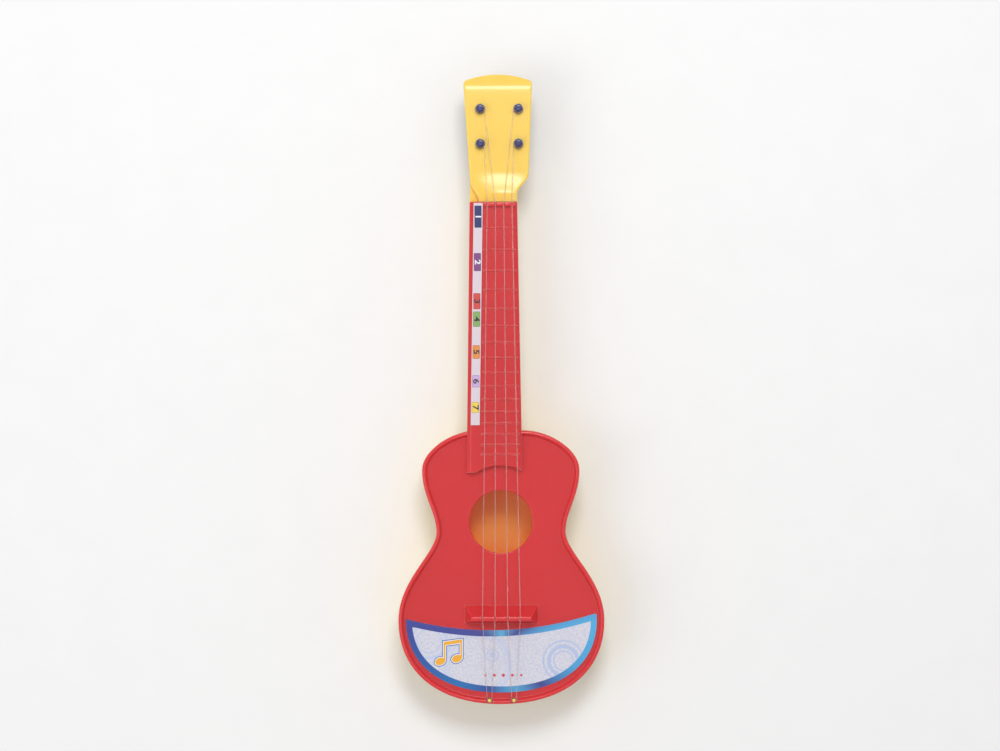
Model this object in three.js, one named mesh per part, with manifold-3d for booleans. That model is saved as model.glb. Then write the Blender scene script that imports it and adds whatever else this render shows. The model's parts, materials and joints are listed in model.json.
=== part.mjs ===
// A child's four-string guitar, 366 mm long: a red front shell screwed to a yellow back shell.
// Millimetres. It lies on its back: +Y points to the headstock, +Z out of the face, and z = 0 is
// the surface it rests on. x = 0 is the line of symmetry of the body.

import * as THREE from "three";
import { mergeVertices } from "three/addons/utils/BufferGeometryUtils.js";
import { ConvexGeometry } from "three/addons/geometries/ConvexGeometry.js";
import Module from "manifold-3d";

const wasm = await Module();
wasm.setup();

// Heights above the surface it lies on
const PARTING_Z = 26; // where the two shells meet
const BOARD_Z = 34; // face of the soundboard
const RIM_Z = 36; // top of the rim bead round the soundboard
const FINGERBOARD_Z = 38;
const NECK_BACK_Z = 17;
const HEAD_FACE_Z = 33.5;
const HEAD_BACK_Z = 24;

// Walls
const WALL = 2;
const SHELL_STEP = 0.3; // how far the back shell stands inside the front shell's outline
const RIM_WIDTH = 3.5;
const RIM_ROUND = 1.2;
const BACK_ROUND = 6;
const FLOOR = 2.2;

// Body outline, right half: each node has its place and its handle lengths before and after.
// The handles of the first and last node run along X, and those of the others along Y.
const TAIL_Y = -183;
const SHOULDER = { x: 14, y: -24.2, after: 13.7 };
const UPPER_BOUT = { x: 45.7, y: -47.1, before: 12.1, after: 15.4 };
const WAIST = { x: 37.5, y: -82.9, before: 11.6, after: 12.7 };
const LOWER_BOUT = { x: 59.8, y: -134.4, before: 24, after: 28.9 };
const TAIL = { x: 0, y: TAIL_Y, before: 38.2 };
const CURVE_STEPS = 7;

const FAR = 250; // past every edge of the guitar, for the solids that only cut

// Sound hole, and the fingerboard's end: an arc under the strings, then straight under the flange
const HOLE_Y = -77.1;
const HOLE_R = 18.3;
const FINGERBOARD_END = { y: -44.3, arcR: 26.5, flangeY: -48.3 };

// Neck. The fretted part is symmetric, and a flange for the number strip widens it on the left.
const NUT_Y = 106.8;
const SADDLE_Y = -133;
const NECK_TOP_Y = 108.4;
const NECK_JOINT_Y = -24;
const NECK_TENON = 12; // how far the neck's back runs on into the body
const FRETTED_HALF_AT_NUT = 10.2;
const FRETTED_HALF_AT_JOINT = 12.2;
const FLANGE_WIDTH = 7.2;
const NECK_BEVEL = 2.2;
const NECK_BEVEL_DROP = 1.5;
const FRET_COUNT = 16;
const FRET_HEIGHT = 0.8;
const FRET_WIDTH = 1.1;
const NUT_HEIGHT = 2.5;
const NUT_WIDTH = 2.4;
const BAR_LEFT_MARGIN = 1; // from the fretted part's edges to the ends of frets and nut
const BAR_RIGHT_MARGIN = 1.2;
const SUNK = 0.5; // how deep a piece that stands on a face goes into it

// Neck back: it deepens to a heel at the body, and thins to the headstock
const HEEL = { lowY: -28, highY: -4, depth: 7 };
const NECK_THINS = { lowY: 106, highY: 122, depth: 2.5 };

// Bridge: a wedge that rises gently from the sound hole and drops steeply to the tail
const BRIDGE = { frontY: -124.8, backY: -136.4, ridgeY: SADDLE_Y, ridgeWidth: 2, z: 42.5 };
const BRIDGE_BASE_HALF = 21.6;
const BRIDGE_RIDGE_HALF = 17.3;

// Headstock. Each side is straight from its corner to its foot, then an S-curve to the neck.
const HEAD_TOP_Y = 183;
const HEAD_CORNER_Y = 179;
const HEAD_RIGHT = { corner: 19.2, foot: 17, footY: 124.5, neck: FRETTED_HALF_AT_NUT, neckY: 113.5 };
const HEAD_LEFT = { corner: 20.9, foot: 17.1, footY: 120.5, neck: 12.2, neckY: 108.9 };
const HEAD_START_Y = NECK_TOP_Y + 0.3;
const HEAD_FLAT_END_Y = 175.7; // past this line the face rolls down to the top edge
const HEAD_ROLL = THREE.MathUtils.degToRad(22);
const HEAD_PLATE = 2.5;
const HEAD_ROUND = 1.5;
const FLANGE_STEP_Z = 30.5; // the flange's lower shelf beside the headstock's foot
const HEAD_RAMP = { lowY: 126, highY: 114.4, z: 36 }; // the face rises here to the fingerboard

// Tuning posts
const PEG_X = 11.05;
const PEG_YS = [162.7, 142.4];
const PEG_PLACES = PEG_YS.flatMap((y) => [-1, 1].map((side) => [side * PEG_X, y]));
const POST_R = 2.3;
const POST_TOP_Z = 38.8;
const POST_FLANGE = { r: 2.9, thick: 0.8 };
const POST_TAIL_R = 1.9;
const POST_TAIL_Z = 18.4;
const POST_PILOT_R = 1.3;
const PEG_BOSS_R = 4.6;
const KNOB = { top: HEAD_BACK_Z - 0.4, hubBottom: 17, wingTop: 20, bottom: 9.6 };
const KNOB_HUB_R = 4.2;
const KNOB_CORE_R = 3.6;
const KNOB_WING_HALF = 7.4;
const KNOB_WING_THICK = 4.6;
const KNOB_SHOULDER_Z = 14.6; // the screw's head bears on this
const WINDING = { low: 35, high: 37, inner: POST_R + 0.3, outer: 3.4 };

// Strings: one line runs from a lower post round a tail lug and back to the upper post
const STRING_R = 0.25;
const NUT_NOTCH_XS = [7.2, 2.4];
const SADDLE_NOTCH_XS = [10.95, 3.65];
const NOTCH_WIDTH = 1.3;
const NOTCH_DEPTH = 0.9;
const SADDLE_NOTCH_REACH = 6;
const CLEAR = 0.3;
const LUG = { x: 7.1, y: -180.7, r: 1, bottom: 14, top: 36 };
const LUG_LOOP_R = LUG.r + CLEAR + STRING_R;
const LUG_LOOP_Z = 35.2;

// Labels, on the flange of the neck and on the lower bout
const LABEL_THICK = 0.2;
const LABEL_GAP = 0.05;
const STRIP = { width: 5.2, top: { x: -9.8, y: 107.8 }, bottom: { x: -12.1, y: -20.9 } };
const BODY_LABEL = {
  inset: 4.4, // from the body's outline, at the label's corners
  shorten: 0.955, // the lower edge is drawn up by this about cornerY
  cornerY: -130,
  middleY: -140, // lowest point of the upper edge, which rises by sag at reach from there
  sag: 9.6,
  reach: 60,
  turn: THREE.MathUtils.degToRad(1.6),
};

// Screws that hold the shells together, driven from the back
const BODY_SCREWS = [
  [-32, -50],
  [32, -50],
  [-46, -132],
  [46, -132],
  [0, -168],
];
const NECK_SCREWS = [
  [-3.9, 88],
  [-3.9, 12],
];
const BODY_SCREW = { shankR: 1.15, headR: 2.6, headThick: 2, headTop: 12.7, tip: 27 };
const NECK_SCREW = { ...BODY_SCREW, headTop: 19.9, tip: 33 };
const KNOB_SCREW = { shankR: 1, headR: 2.2, headThick: 1.6, headTop: 14.3, tip: 23.6 };
const BOSS_R = 4.2;
const PILOT_BOSS_R = 3.6;
const BOSS_PILOT_R = BODY_SCREW.shankR + CLEAR;
const SCREW_HOLE_R = 1.7;
const COUNTERBORE_R = BODY_SCREW.headR + 0.5;
const BODY_BOSS = { bottom: 1, shoulder: 13, top: 21.2, pilotBottom: 21.5 };
const NECK_BOSS = { bottom: NECK_BACK_Z + 1, shoulder: 20.2, top: 24.2, pilotBottom: 24.6 };
const BOSS_CAP = 2; // solid above the end of a pilot hole

const RED = { color: 0xd6343c, roughness: 0.32, metalness: 0 };
const YELLOW = { color: 0xf7c842, roughness: 0.34, metalness: 0 };
const BLUE = { color: 0x2c2e68, roughness: 0.35, metalness: 0 };
const NYLON = { color: 0xe9e6df, roughness: 0.25, metalness: 0 };
const STEEL = { color: 0xb9bdc3, roughness: 0.35, metalness: 0.9 };
const PAPER = { color: 0xf1eef5, roughness: 0.45, metalness: 0 };

// ---------------------------------------------------------------- solids

/** A closed three.js geometry as a manifold solid. */
function solid(geometry) {
  const bare = new THREE.BufferGeometry();
  bare.setAttribute("position", geometry.attributes.position.clone());
  if (geometry.index) bare.setIndex(geometry.index.clone());
  const merged = mergeVertices(bare, 1e-4);
  const corners = merged.index.array;
  const kept = [];
  for (let i = 0; i < corners.length; i += 3) {
    const [a, b, c] = [corners[i], corners[i + 1], corners[i + 2]];
    if (a !== b && b !== c && c !== a) kept.push(a, b, c);
  }
  const vertProperties = new Float32Array(merged.attributes.position.array);
  return new wasm.Manifold(
    new wasm.Mesh({ numProp: 3, vertProperties, triVerts: new Uint32Array(kept) }),
  );
}

/** A manifold solid as a three.js geometry. */
function geometryOf(shape) {
  const mesh = shape.getMesh();
  const geometry = new THREE.BufferGeometry();
  geometry.setAttribute("position", new THREE.BufferAttribute(mesh.vertProperties, 3));
  geometry.setIndex(new THREE.BufferAttribute(mesh.triVerts, 1));
  geometry.computeVertexNormals();
  return geometry;
}

function union(parts) {
  return parts.reduce((whole, part) => whole.add(part));
}

function box(low, high) {
  const size = high.map((value, i) => value - low[i]);
  const middle = high.map((value, i) => (value + low[i]) / 2);
  return solid(new THREE.BoxGeometry(...size).translate(...middle));
}

/** An upright round bar from z0 to z1. */
function rod(x, y, z0, z1, radius, sides = 16) {
  const bar = new THREE.CylinderGeometry(radius, radius, z1 - z0, sides);
  return solid(bar.rotateX(Math.PI / 2).translate(x, y, (z0 + z1) / 2));
}

/** The convex solid round a few points, each [x, y, z]. */
function hull(points) {
  return solid(new ConvexGeometry(points.map((p) => new THREE.Vector3(...p))));
}

/** An outline of [x, y] points raised from z0 to z1. */
function slab(outline, z0, z1) {
  const shape = new THREE.Shape(outline.map(([x, y]) => new THREE.Vector2(x, y)));
  const raised = new THREE.ExtrudeGeometry(shape, { depth: z1 - z0, bevelEnabled: false });
  return solid(raised.translate(0, 0, z0));
}

/** A slab whose edges, above and below, are rounded to a radius. */
function roundedSlab(outline, z0, z1, radius, segments) {
  const shape = new THREE.Shape(outline.map(([x, y]) => new THREE.Vector2(x, y)));
  const raised = new THREE.ExtrudeGeometry(shape, {
    depth: z1 - z0 - 2 * radius,
    bevelThickness: radius,
    bevelSize: radius,
    bevelOffset: -radius,
    bevelSegments: segments,
  });
  return solid(raised.translate(0, 0, z0 + radius));
}

/** A solid turned from [radius, z] points, placed at x, y. */
function turned(profile, x, y, sides = 16) {
  const points = profile.map(([r, z]) => new THREE.Vector2(r, z));
  const lathe = new THREE.LatheGeometry(points, sides);
  return solid(lathe.rotateX(Math.PI / 2).translate(x, y, 0));
}

/** A closed outline moved inwards, for an outline whose points run clockwise. */
function inset(outline, distance) {
  return outline.map(([x, y], i) => {
    const [x0, y0] = outline[(i + outline.length - 1) % outline.length];
    const [x1, y1] = outline[(i + 1) % outline.length];
    const length = Math.hypot(x1 - x0, y1 - y0);
    return [x + ((y1 - y0) / length) * distance, y - ((x1 - x0) / length) * distance];
  });
}

// ---------------------------------------------------------------- shared shapes

/** The points of one curve between two outline nodes, without its last point. */
function outlineCurve(from, to, fromHandle, toHandle) {
  const start = new THREE.Vector2(from.x, from.y);
  const end = new THREE.Vector2(to.x, to.y);
  const curve = new THREE.CubicBezierCurve(
    start,
    start.clone().add(fromHandle),
    end.clone().add(toHandle),
    end,
  );
  return curve.getPoints(CURVE_STEPS).slice(0, -1).map((p) => [p.x, p.y]);
}

/** The body's outline in plan, clockwise from the right shoulder. */
function bodyOutline() {
  const across = (length) => new THREE.Vector2(length, 0);
  const down = (length) => new THREE.Vector2(0, -length);
  const right = [
    ...outlineCurve(SHOULDER, UPPER_BOUT, across(SHOULDER.after), down(-UPPER_BOUT.before)),
    ...outlineCurve(UPPER_BOUT, WAIST, down(UPPER_BOUT.after), down(-WAIST.before)),
    ...outlineCurve(WAIST, LOWER_BOUT, down(WAIST.after), down(-LOWER_BOUT.before)),
    ...outlineCurve(LOWER_BOUT, TAIL, down(LOWER_BOUT.after), across(TAIL.before)),
  ];
  const left = right.map(([x, y]) => [-x, y]).reverse();
  return [...right, [TAIL.x, TAIL.y], ...left];
}

/** How far the fretted part of the neck reaches to each side at y. */
function frettedHalf(y) {
  const share = (NECK_TOP_Y - y) / (NECK_TOP_Y - NECK_JOINT_Y);
  return THREE.MathUtils.lerp(FRETTED_HALF_AT_NUT, FRETTED_HALF_AT_JOINT, share);
}

/** One side of the headstock's foot, as an S-curve from the straight side down to the neck. */
function footSide(side) {
  const shape = side < 0 ? HEAD_LEFT : HEAD_RIGHT;
  const steps = 6;
  const curve = [];
  for (let i = 0; i <= steps; i++) {
    const y = THREE.MathUtils.lerp(shape.footY, shape.neckY, i / steps);
    const ease = THREE.MathUtils.smoothstep(y, shape.neckY, shape.footY);
    curve.push([side * THREE.MathUtils.lerp(shape.neck, shape.foot, ease), y]);
  }
  return [...curve, [side * shape.neck, HEAD_START_Y]];
}

/** The headstock's outline in plan, clockwise. Its left side runs straight on to the flange. */
function headOutline() {
  const half = (HEAD_LEFT.corner + HEAD_RIGHT.corner) / 2;
  const middle = HEAD_RIGHT.corner - half;
  const rise = HEAD_TOP_Y - HEAD_CORNER_Y;
  const radius = (half ** 2 + rise ** 2) / (2 * rise);
  const steps = 12;
  const top = [];
  for (let i = 0; i <= steps; i++) {
    const x = THREE.MathUtils.lerp(-half, half, i / steps);
    top.push([middle + x, HEAD_TOP_Y - radius + Math.sqrt(radius ** 2 - x ** 2)]);
  }
  const flangeEdge = -frettedHalf(HEAD_START_Y) - FLANGE_WIDTH;
  return [
    ...top,
    ...footSide(1),
    [flangeEdge, HEAD_START_Y],
    [-HEAD_LEFT.foot, HEAD_LEFT.footY],
  ];
}

/** The neck's plan between two places, from the flange's edge to the right edge, clockwise. */
function neckPlan(highY, lowY, margin = 0) {
  const left = (y) => -frettedHalf(y) - FLANGE_WIDTH + margin;
  const right = (y) => frettedHalf(y) - margin;
  return [
    [left(highY), highY],
    [right(highY), highY],
    [right(lowY), lowY],
    [left(lowY), lowY],
  ];
}

// ---------------------------------------------------------------- front shell

/** The neck's front with its bevelled edges, down to the parting plane, as far as the hole. */
function fingerboardBlock() {
  const ends = [NECK_TOP_Y, HOLE_Y];
  return hull(
    ends.flatMap((y) => {
      const left = -frettedHalf(y) - FLANGE_WIDTH;
      const right = frettedHalf(y);
      const bevelZ = FINGERBOARD_Z - NECK_BEVEL_DROP;
      return [
        [left, y, PARTING_Z],
        [left, y, bevelZ],
        [left + NECK_BEVEL, y, FINGERBOARD_Z],
        [right - NECK_BEVEL, y, FINGERBOARD_Z],
        [right, y, bevelZ],
        [right, y, PARTING_Z],
      ];
    }),
  );
}

/** A bar across the fretted part of the neck, narrower at its top. */
function crossBar(y, width, height) {
  const left = -frettedHalf(y) + BAR_LEFT_MARGIN;
  const right = frettedHalf(y) - BAR_RIGHT_MARGIN;
  const points = [
    [width / 2, FINGERBOARD_Z - SUNK],
    [width / 4, FINGERBOARD_Z + height],
  ].flatMap(([reach, z]) =>
    [-reach, reach].flatMap((dy) => [
      [left, y + dy, z],
      [right, y + dy, z],
    ]),
  );
  return hull(points);
}

function frets() {
  const scale = NUT_Y - SADDLE_Y;
  const bars = [];
  for (let n = 1; n <= FRET_COUNT; n++) {
    bars.push(crossBar(NUT_Y - scale * (1 - 2 ** (-n / 12)), FRET_WIDTH, FRET_HEIGHT));
  }
  return bars;
}

function bridgeWedge() {
  const base = [BRIDGE.frontY, BRIDGE.backY].map((y) => [BRIDGE_BASE_HALF, y, BOARD_Z - SUNK]);
  const ridge = [-1, 1].map((side) => [
    BRIDGE_RIDGE_HALF,
    BRIDGE.ridgeY + (side * BRIDGE.ridgeWidth) / 2,
    BRIDGE.z,
  ]);
  const right = [...base, ...ridge];
  return hull([...right, ...right.map(([x, y, z]) => [-x, y, z])]);
}

/** Cuts for the four strings across a bar whose top is at z. */
function stringNotches(xs, y, reach, z) {
  return xs.flatMap((x) =>
    [-x, x].map((centre) =>
      box(
        [centre - NOTCH_WIDTH / 2, y - reach, z - NOTCH_DEPTH],
        [centre + NOTCH_WIDTH / 2, y + reach, z + 1],
      ),
    ),
  );
}

/** The rim's notch for the string looped round one tail lug, and the slot for the lug below it. */
function lugNotch(side) {
  const x = side * LUG.x;
  const loopHalf = LUG_LOOP_R + STRING_R + CLEAR;
  const slotHalf = LUG.r + CLEAR;
  return box(
    [x - loopHalf, TAIL_Y - 1, LUG_LOOP_Z - STRING_R - 0.5],
    [x + loopHalf, LUG.y + LUG.r + 1, RIM_Z + 1],
  ).add(box([x - slotHalf, LUG.y - slotHalf, PARTING_Z - 1], [x + slotHalf, LUG.y + slotHalf, RIM_Z]));
}

/** A tube that hangs from the front shell's face and takes a screw's thread. */
function pilotBoss([x, y], bottom, face) {
  return {
    tube: rod(x, y, bottom, face - SUNK, PILOT_BOSS_R),
    bore: rod(x, y, bottom - 1, face - SUNK - BOSS_CAP, BOSS_PILOT_R, 12),
  };
}

function frontShell() {
  const outline = bodyOutline();
  const outer = roundedSlab(outline, PARTING_Z - 2, RIM_Z, RIM_ROUND, 2);
  const recess = slab(inset(outline, RIM_WIDTH), BOARD_Z, RIM_Z + 1);
  const hollow = slab(inset(outline, WALL), PARTING_Z - 3, BOARD_Z - WALL);
  const neckHollow = slab(
    neckPlan(NECK_TOP_Y - WALL, FINGERBOARD_END.y + WALL, WALL),
    PARTING_Z - 3,
    FINGERBOARD_Z - WALL,
  );
  const { y, arcR, flangeY } = FINGERBOARD_END;
  const beyond = rod(0, y - arcR, PARTING_Z - 1, FINGERBOARD_Z + 1, arcR, 64).add(
    box([-FAR, -FAR, PARTING_Z - 1], [FAR, flangeY, FINGERBOARD_Z + 1]),
  );
  const bosses = [
    ...BODY_SCREWS.map((place) => pilotBoss(place, BODY_BOSS.pilotBottom, BOARD_Z)),
    ...NECK_SCREWS.map((place) => pilotBoss(place, NECK_BOSS.pilotBottom, FINGERBOARD_Z)),
  ];
  const below = box([-FAR, -FAR, -1], [FAR, FAR, PARTING_Z]);
  const shell = union([outer.subtract(recess), fingerboardBlock().subtract(beyond)])
    .subtract(union([hollow, neckHollow, below]))
    .subtract(rod(0, HOLE_Y, PARTING_Z, FINGERBOARD_Z, HOLE_R, 64));
  const raised = union([
    shell,
    bridgeWedge(),
    crossBar(NUT_Y, NUT_WIDTH, NUT_HEIGHT),
    ...frets(),
    ...bosses.map((boss) => boss.tube),
  ]);
  return raised.subtract(
    union([
      ...stringNotches(NUT_NOTCH_XS, NUT_Y, NUT_WIDTH, FINGERBOARD_Z + NUT_HEIGHT),
      ...stringNotches(SADDLE_NOTCH_XS, BRIDGE.ridgeY, SADDLE_NOTCH_REACH, BRIDGE.z),
      ...bosses.map((boss) => boss.bore),
      lugNotch(-1),
      lugNotch(1),
    ]),
  );
}

// ---------------------------------------------------------------- back shell

/** How deep the neck's rounded back is below the parting plane at y. */
function neckDepth(y) {
  const full = PARTING_Z - NECK_BACK_Z;
  const heel = 1 - THREE.MathUtils.smoothstep(y, HEEL.lowY, HEEL.highY);
  const toHead = THREE.MathUtils.smoothstep(y, NECK_THINS.lowY, NECK_THINS.highY);
  return full + heel * HEEL.depth - toHead * (full - NECK_THINS.depth);
}

/** The neck's rounded back between two places, thinner by margin all round. */
function neckBack(highY, lowY, margin) {
  const section = new THREE.Shape();
  section.absellipse(0, 0, 1, 1, Math.PI, 2 * Math.PI, false);
  section.closePath();
  const steps = 16;
  const bar = new THREE.ExtrudeGeometry(section, {
    depth: highY - lowY,
    steps,
    bevelEnabled: false,
    curveSegments: 10,
  });
  const places = bar.rotateX(Math.PI / 2).translate(0, highY, 0).attributes.position;
  for (let i = 0; i < places.count; i++) {
    const y = places.getY(i);
    const half = frettedHalf(y) + FLANGE_WIDTH / 2 - margin;
    places.setX(i, places.getX(i) * half - FLANGE_WIDTH / 2);
    places.setZ(i, PARTING_Z + places.getZ(i) * (neckDepth(y) - margin));
  }
  return solid(bar);
}

/** The headstock's plate, with the roll at its top and the lower shelf beside its foot. */
function headPlate() {
  const outline = headOutline();
  const plate = roundedSlab(outline, HEAD_BACK_Z - HEAD_ROUND, HEAD_FACE_Z, HEAD_ROUND, 2);
  const rollCut = new THREE.BoxGeometry(FAR, 40, 10);
  rollCut.translate(0, 20, 5).rotateX(-HEAD_ROLL).translate(0, HEAD_FLAT_END_Y, HEAD_FACE_Z);
  const below = HEAD_START_Y - 1;
  const shelf = [
    [-FAR, HEAD_LEFT.footY],
    ...footSide(-1),
    [-HEAD_LEFT.neck, below],
    [-FAR, below],
  ];
  return union([plate, headRamp()])
    .subtract(solid(rollCut))
    .subtract(slab(shelf, FLANGE_STEP_Z, HEAD_RAMP.z + 1));
}

/** The wedge by which the headstock's face rises to the fingerboard, and its level top. */
function headRamp() {
  const wedge = hull(
    [-HEAD_LEFT.foot, HEAD_LEFT.foot].flatMap((x) => [
      [x, HEAD_RAMP.lowY, HEAD_FACE_Z - 2],
      [x, HEAD_RAMP.lowY, HEAD_FACE_Z],
      [x, HEAD_RAMP.highY, HEAD_RAMP.z],
      [x, HEAD_START_Y, HEAD_FACE_Z - 2],
      [x, HEAD_START_Y, HEAD_RAMP.z],
    ]),
  );
  const top = HEAD_RAMP.lowY;
  const plan = [
    [-HEAD_LEFT.foot, top],
    [HEAD_RIGHT.foot, top],
    ...footSide(1),
    ...footSide(-1).reverse(),
  ];
  return slab(plan, HEAD_FACE_Z - 2, HEAD_RAMP.z + 1).intersect(wedge);
}

/** The tube that a screw's head sits in, with its stepped bore, from the back. */
function screwBoss([x, y], { bottom, shoulder, top }) {
  return {
    tube: rod(x, y, bottom, top, BOSS_R),
    bore: rod(x, y, -1, shoulder, COUNTERBORE_R).add(
      rod(x, y, shoulder - 1, top + 1, SCREW_HOLE_R, 12),
    ),
  };
}

function backShell() {
  const outline = inset(bodyOutline(), SHELL_STEP);
  const above = box([-FAR, -FAR, PARTING_Z], [FAR, HEAD_START_Y, FAR]);
  const past = BACK_ROUND + 2; // so that the upper rounding is cut off with what is above
  const tray = roundedSlab(outline, 0, PARTING_Z + past, BACK_ROUND, 3);
  const trayHollow = roundedSlab(
    inset(outline, WALL),
    FLOOR,
    PARTING_Z + 2 * past,
    BACK_ROUND - WALL,
    2,
  );
  const headHollow = slab(
    inset(headOutline(), WALL),
    HEAD_BACK_Z - HEAD_PLATE,
    FLANGE_STEP_Z - HEAD_PLATE,
  );
  const belowHead = box([-FAR, HEAD_RIGHT.footY, 0], [FAR, FAR, HEAD_BACK_Z]);
  const neck = neckBack(HEAD_RIGHT.footY, NECK_JOINT_Y - NECK_TENON, 0);
  const neckHollow = neckBack(NECK_TOP_Y - WALL, NECK_JOINT_Y - NECK_TENON - WALL, WALL);
  const throat = slab(
    neckPlan(NECK_TOP_Y - WALL, NECK_JOINT_Y - NECK_TENON, WALL),
    PARTING_Z - SUNK,
    PARTING_Z + 1,
  );

  const pegTubes = PEG_PLACES.map(([x, y]) => rod(x, y, HEAD_BACK_Z, HEAD_FACE_Z - 1, PEG_BOSS_R));
  const pegBores = PEG_PLACES.map(([x, y]) =>
    rod(x, y, HEAD_BACK_Z - 1, HEAD_FACE_Z + 1, POST_R + CLEAR),
  );
  const lugs = [-1, 1].map((side) => rod(side * LUG.x, LUG.y, LUG.bottom, LUG.top, LUG.r));
  const bosses = [
    ...BODY_SCREWS.map((place) => screwBoss(place, BODY_BOSS)),
    ...NECK_SCREWS.map((place) => screwBoss(place, NECK_BOSS)),
  ];

  const walls = union([tray.subtract(above), neck.subtract(above)])
    .subtract(trayHollow)
    .subtract(union([neckHollow, throat]));
  const headWalls = headPlate().subtract(headHollow).subtract(belowHead);
  return union([walls, headWalls, ...pegTubes, ...lugs, ...bosses.map((boss) => boss.tube)]).subtract(
    union([...pegBores, ...bosses.map((boss) => boss.bore)]),
  );
}

// ---------------------------------------------------------------- tuning gear

function tuningPost(x, y) {
  const flangeLow = HEAD_FACE_Z + CLEAR;
  const flangeHigh = flangeLow + POST_FLANGE.thick;
  const chamfer = 0.6;
  const profile = [
    [0, POST_TOP_Z],
    [POST_R - chamfer, POST_TOP_Z],
    [POST_R, POST_TOP_Z - chamfer],
    [POST_R, flangeHigh],
    [POST_FLANGE.r, flangeHigh],
    [POST_FLANGE.r, flangeLow],
    [POST_R, flangeLow],
    [POST_R, HEAD_BACK_Z],
    [POST_TAIL_R, HEAD_BACK_Z],
    [POST_TAIL_R, POST_TAIL_Z],
    [POST_PILOT_R, POST_TAIL_Z],
    [POST_PILOT_R, HEAD_BACK_Z],
    [0, HEAD_BACK_Z],
  ];
  return turned(profile.reverse(), x, y);
}

function tuningKnob(x, y) {
  const wing = new THREE.Shape();
  wing.absellipse(0, 0, KNOB_WING_THICK / 2, KNOB_WING_HALF, 0, 2 * Math.PI, false);
  const blade = new THREE.ExtrudeGeometry(wing, {
    depth: KNOB.wingTop - KNOB.bottom,
    bevelEnabled: false,
    curveSegments: 10,
  });
  const body = rod(x, y, KNOB.hubBottom, KNOB.top, KNOB_HUB_R).add(
    solid(blade.translate(x, y, KNOB.bottom)),
  );
  const core = rod(x, y, KNOB.bottom, KNOB.hubBottom + 1, KNOB_CORE_R);
  return union([body, core]).subtract(
    union([
      rod(x, y, POST_TAIL_Z - CLEAR, KNOB.top + 1, POST_TAIL_R + CLEAR),
      rod(x, y, KNOB_SHOULDER_Z - 1, POST_TAIL_Z, KNOB_SCREW.shankR + CLEAR),
      rod(x, y, KNOB.bottom - 1, KNOB_SHOULDER_Z, KNOB_SCREW.headR + 0.4),
    ]),
  );
}

/** A pan-head screw, pointing up, with its head's top at headTop. */
function screw([x, y], { shankR, headR, headThick, headTop, tip }) {
  const low = headTop - headThick;
  const profile = [
    [0, low],
    [headR * 0.7, low],
    [headR, low + headThick / 2],
    [headR, headTop],
    [shankR, headTop],
    [shankR, tip - shankR],
    [0, tip],
  ];
  return turned(profile, x, y, 12);
}

function winding(x, y) {
  const { low, high, inner, outer } = WINDING;
  const section = [
    [inner, low],
    [outer, low],
    [outer, high],
    [inner, high],
    [inner, low],
  ];
  return turned(section, x, y);
}

// ---------------------------------------------------------------- strings

/** A path of straight runs whose steps fall on its own points. */
class RoutePath extends THREE.Curve {
  constructor(points) {
    super();
    this.points = points;
  }

  getPointAt(u, target = new THREE.Vector3()) {
    const place = u * (this.points.length - 1);
    const index = Math.min(Math.floor(place), this.points.length - 2);
    return target.lerpVectors(this.points[index], this.points[index + 1], place - index);
  }

  getPoint(u, target) {
    return this.getPointAt(u, target);
  }

  getTangentAt(u, target = new THREE.Vector3()) {
    const index = Math.round(u * (this.points.length - 1));
    const before = this.points[Math.max(index - 1, 0)];
    const at = this.points[index];
    const after = this.points[Math.min(index + 1, this.points.length - 1)];
    const arriving = at.clone().sub(before).normalize();
    const leaving = after.clone().sub(at).normalize();
    return target.copy(arriving).add(leaving).normalize();
  }
}

/** The route of one line: lower post, nut, saddle, round the lug, saddle, nut, upper post. */
function stringRoute(side) {
  const notchRise = CLEAR + STRING_R - NOTCH_DEPTH;
  const nutZ = FINGERBOARD_Z + NUT_HEIGHT + notchRise;
  const saddleZ = BRIDGE.z + notchRise;
  const postX = PEG_X - WINDING.outer - STRING_R - CLEAR;
  const postZ = (WINDING.low + WINDING.high) / 2;
  const leg = (pegY, nutX, saddleX) => [
    [postX, pegY, postZ],
    [nutX, NUT_Y, nutZ],
    [saddleX, BRIDGE.ridgeY, saddleZ],
  ];
  const loop = [];
  for (let angle = 0; angle <= 180; angle += 30) {
    const turn = THREE.MathUtils.degToRad(angle);
    loop.push([LUG.x + Math.cos(turn) * LUG_LOOP_R, LUG.y - Math.sin(turn) * LUG_LOOP_R, LUG_LOOP_Z]);
  }
  const route = [
    ...leg(PEG_YS[1], NUT_NOTCH_XS[0], SADDLE_NOTCH_XS[0]),
    ...loop,
    ...leg(PEG_YS[0], NUT_NOTCH_XS[1], SADDLE_NOTCH_XS[1]).reverse(),
  ];
  return route.map(([x, y, z]) => new THREE.Vector3(side * x, y, z));
}

function stringPair(side) {
  const section = new THREE.Shape();
  section.absellipse(0, 0, STRING_R, STRING_R, 0, 2 * Math.PI, false);
  const route = stringRoute(side);
  const tube = new THREE.ExtrudeGeometry(section, {
    steps: route.length - 1,
    curveSegments: 8,
    bevelEnabled: false,
    extrudePath: new RoutePath(route),
  });
  return solid(tube);
}

// ---------------------------------------------------------------- labels

/** The strip beside the frets, on the neck's flange. */
function numberStrip() {
  const { width, top, bottom } = STRIP;
  const outline = [
    [top.x - width, top.y],
    [top.x, top.y],
    [bottom.x, bottom.y],
    [bottom.x - width, bottom.y],
  ];
  return slab(outline, FINGERBOARD_Z + LABEL_GAP, FINGERBOARD_Z + LABEL_GAP + LABEL_THICK);
}

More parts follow.
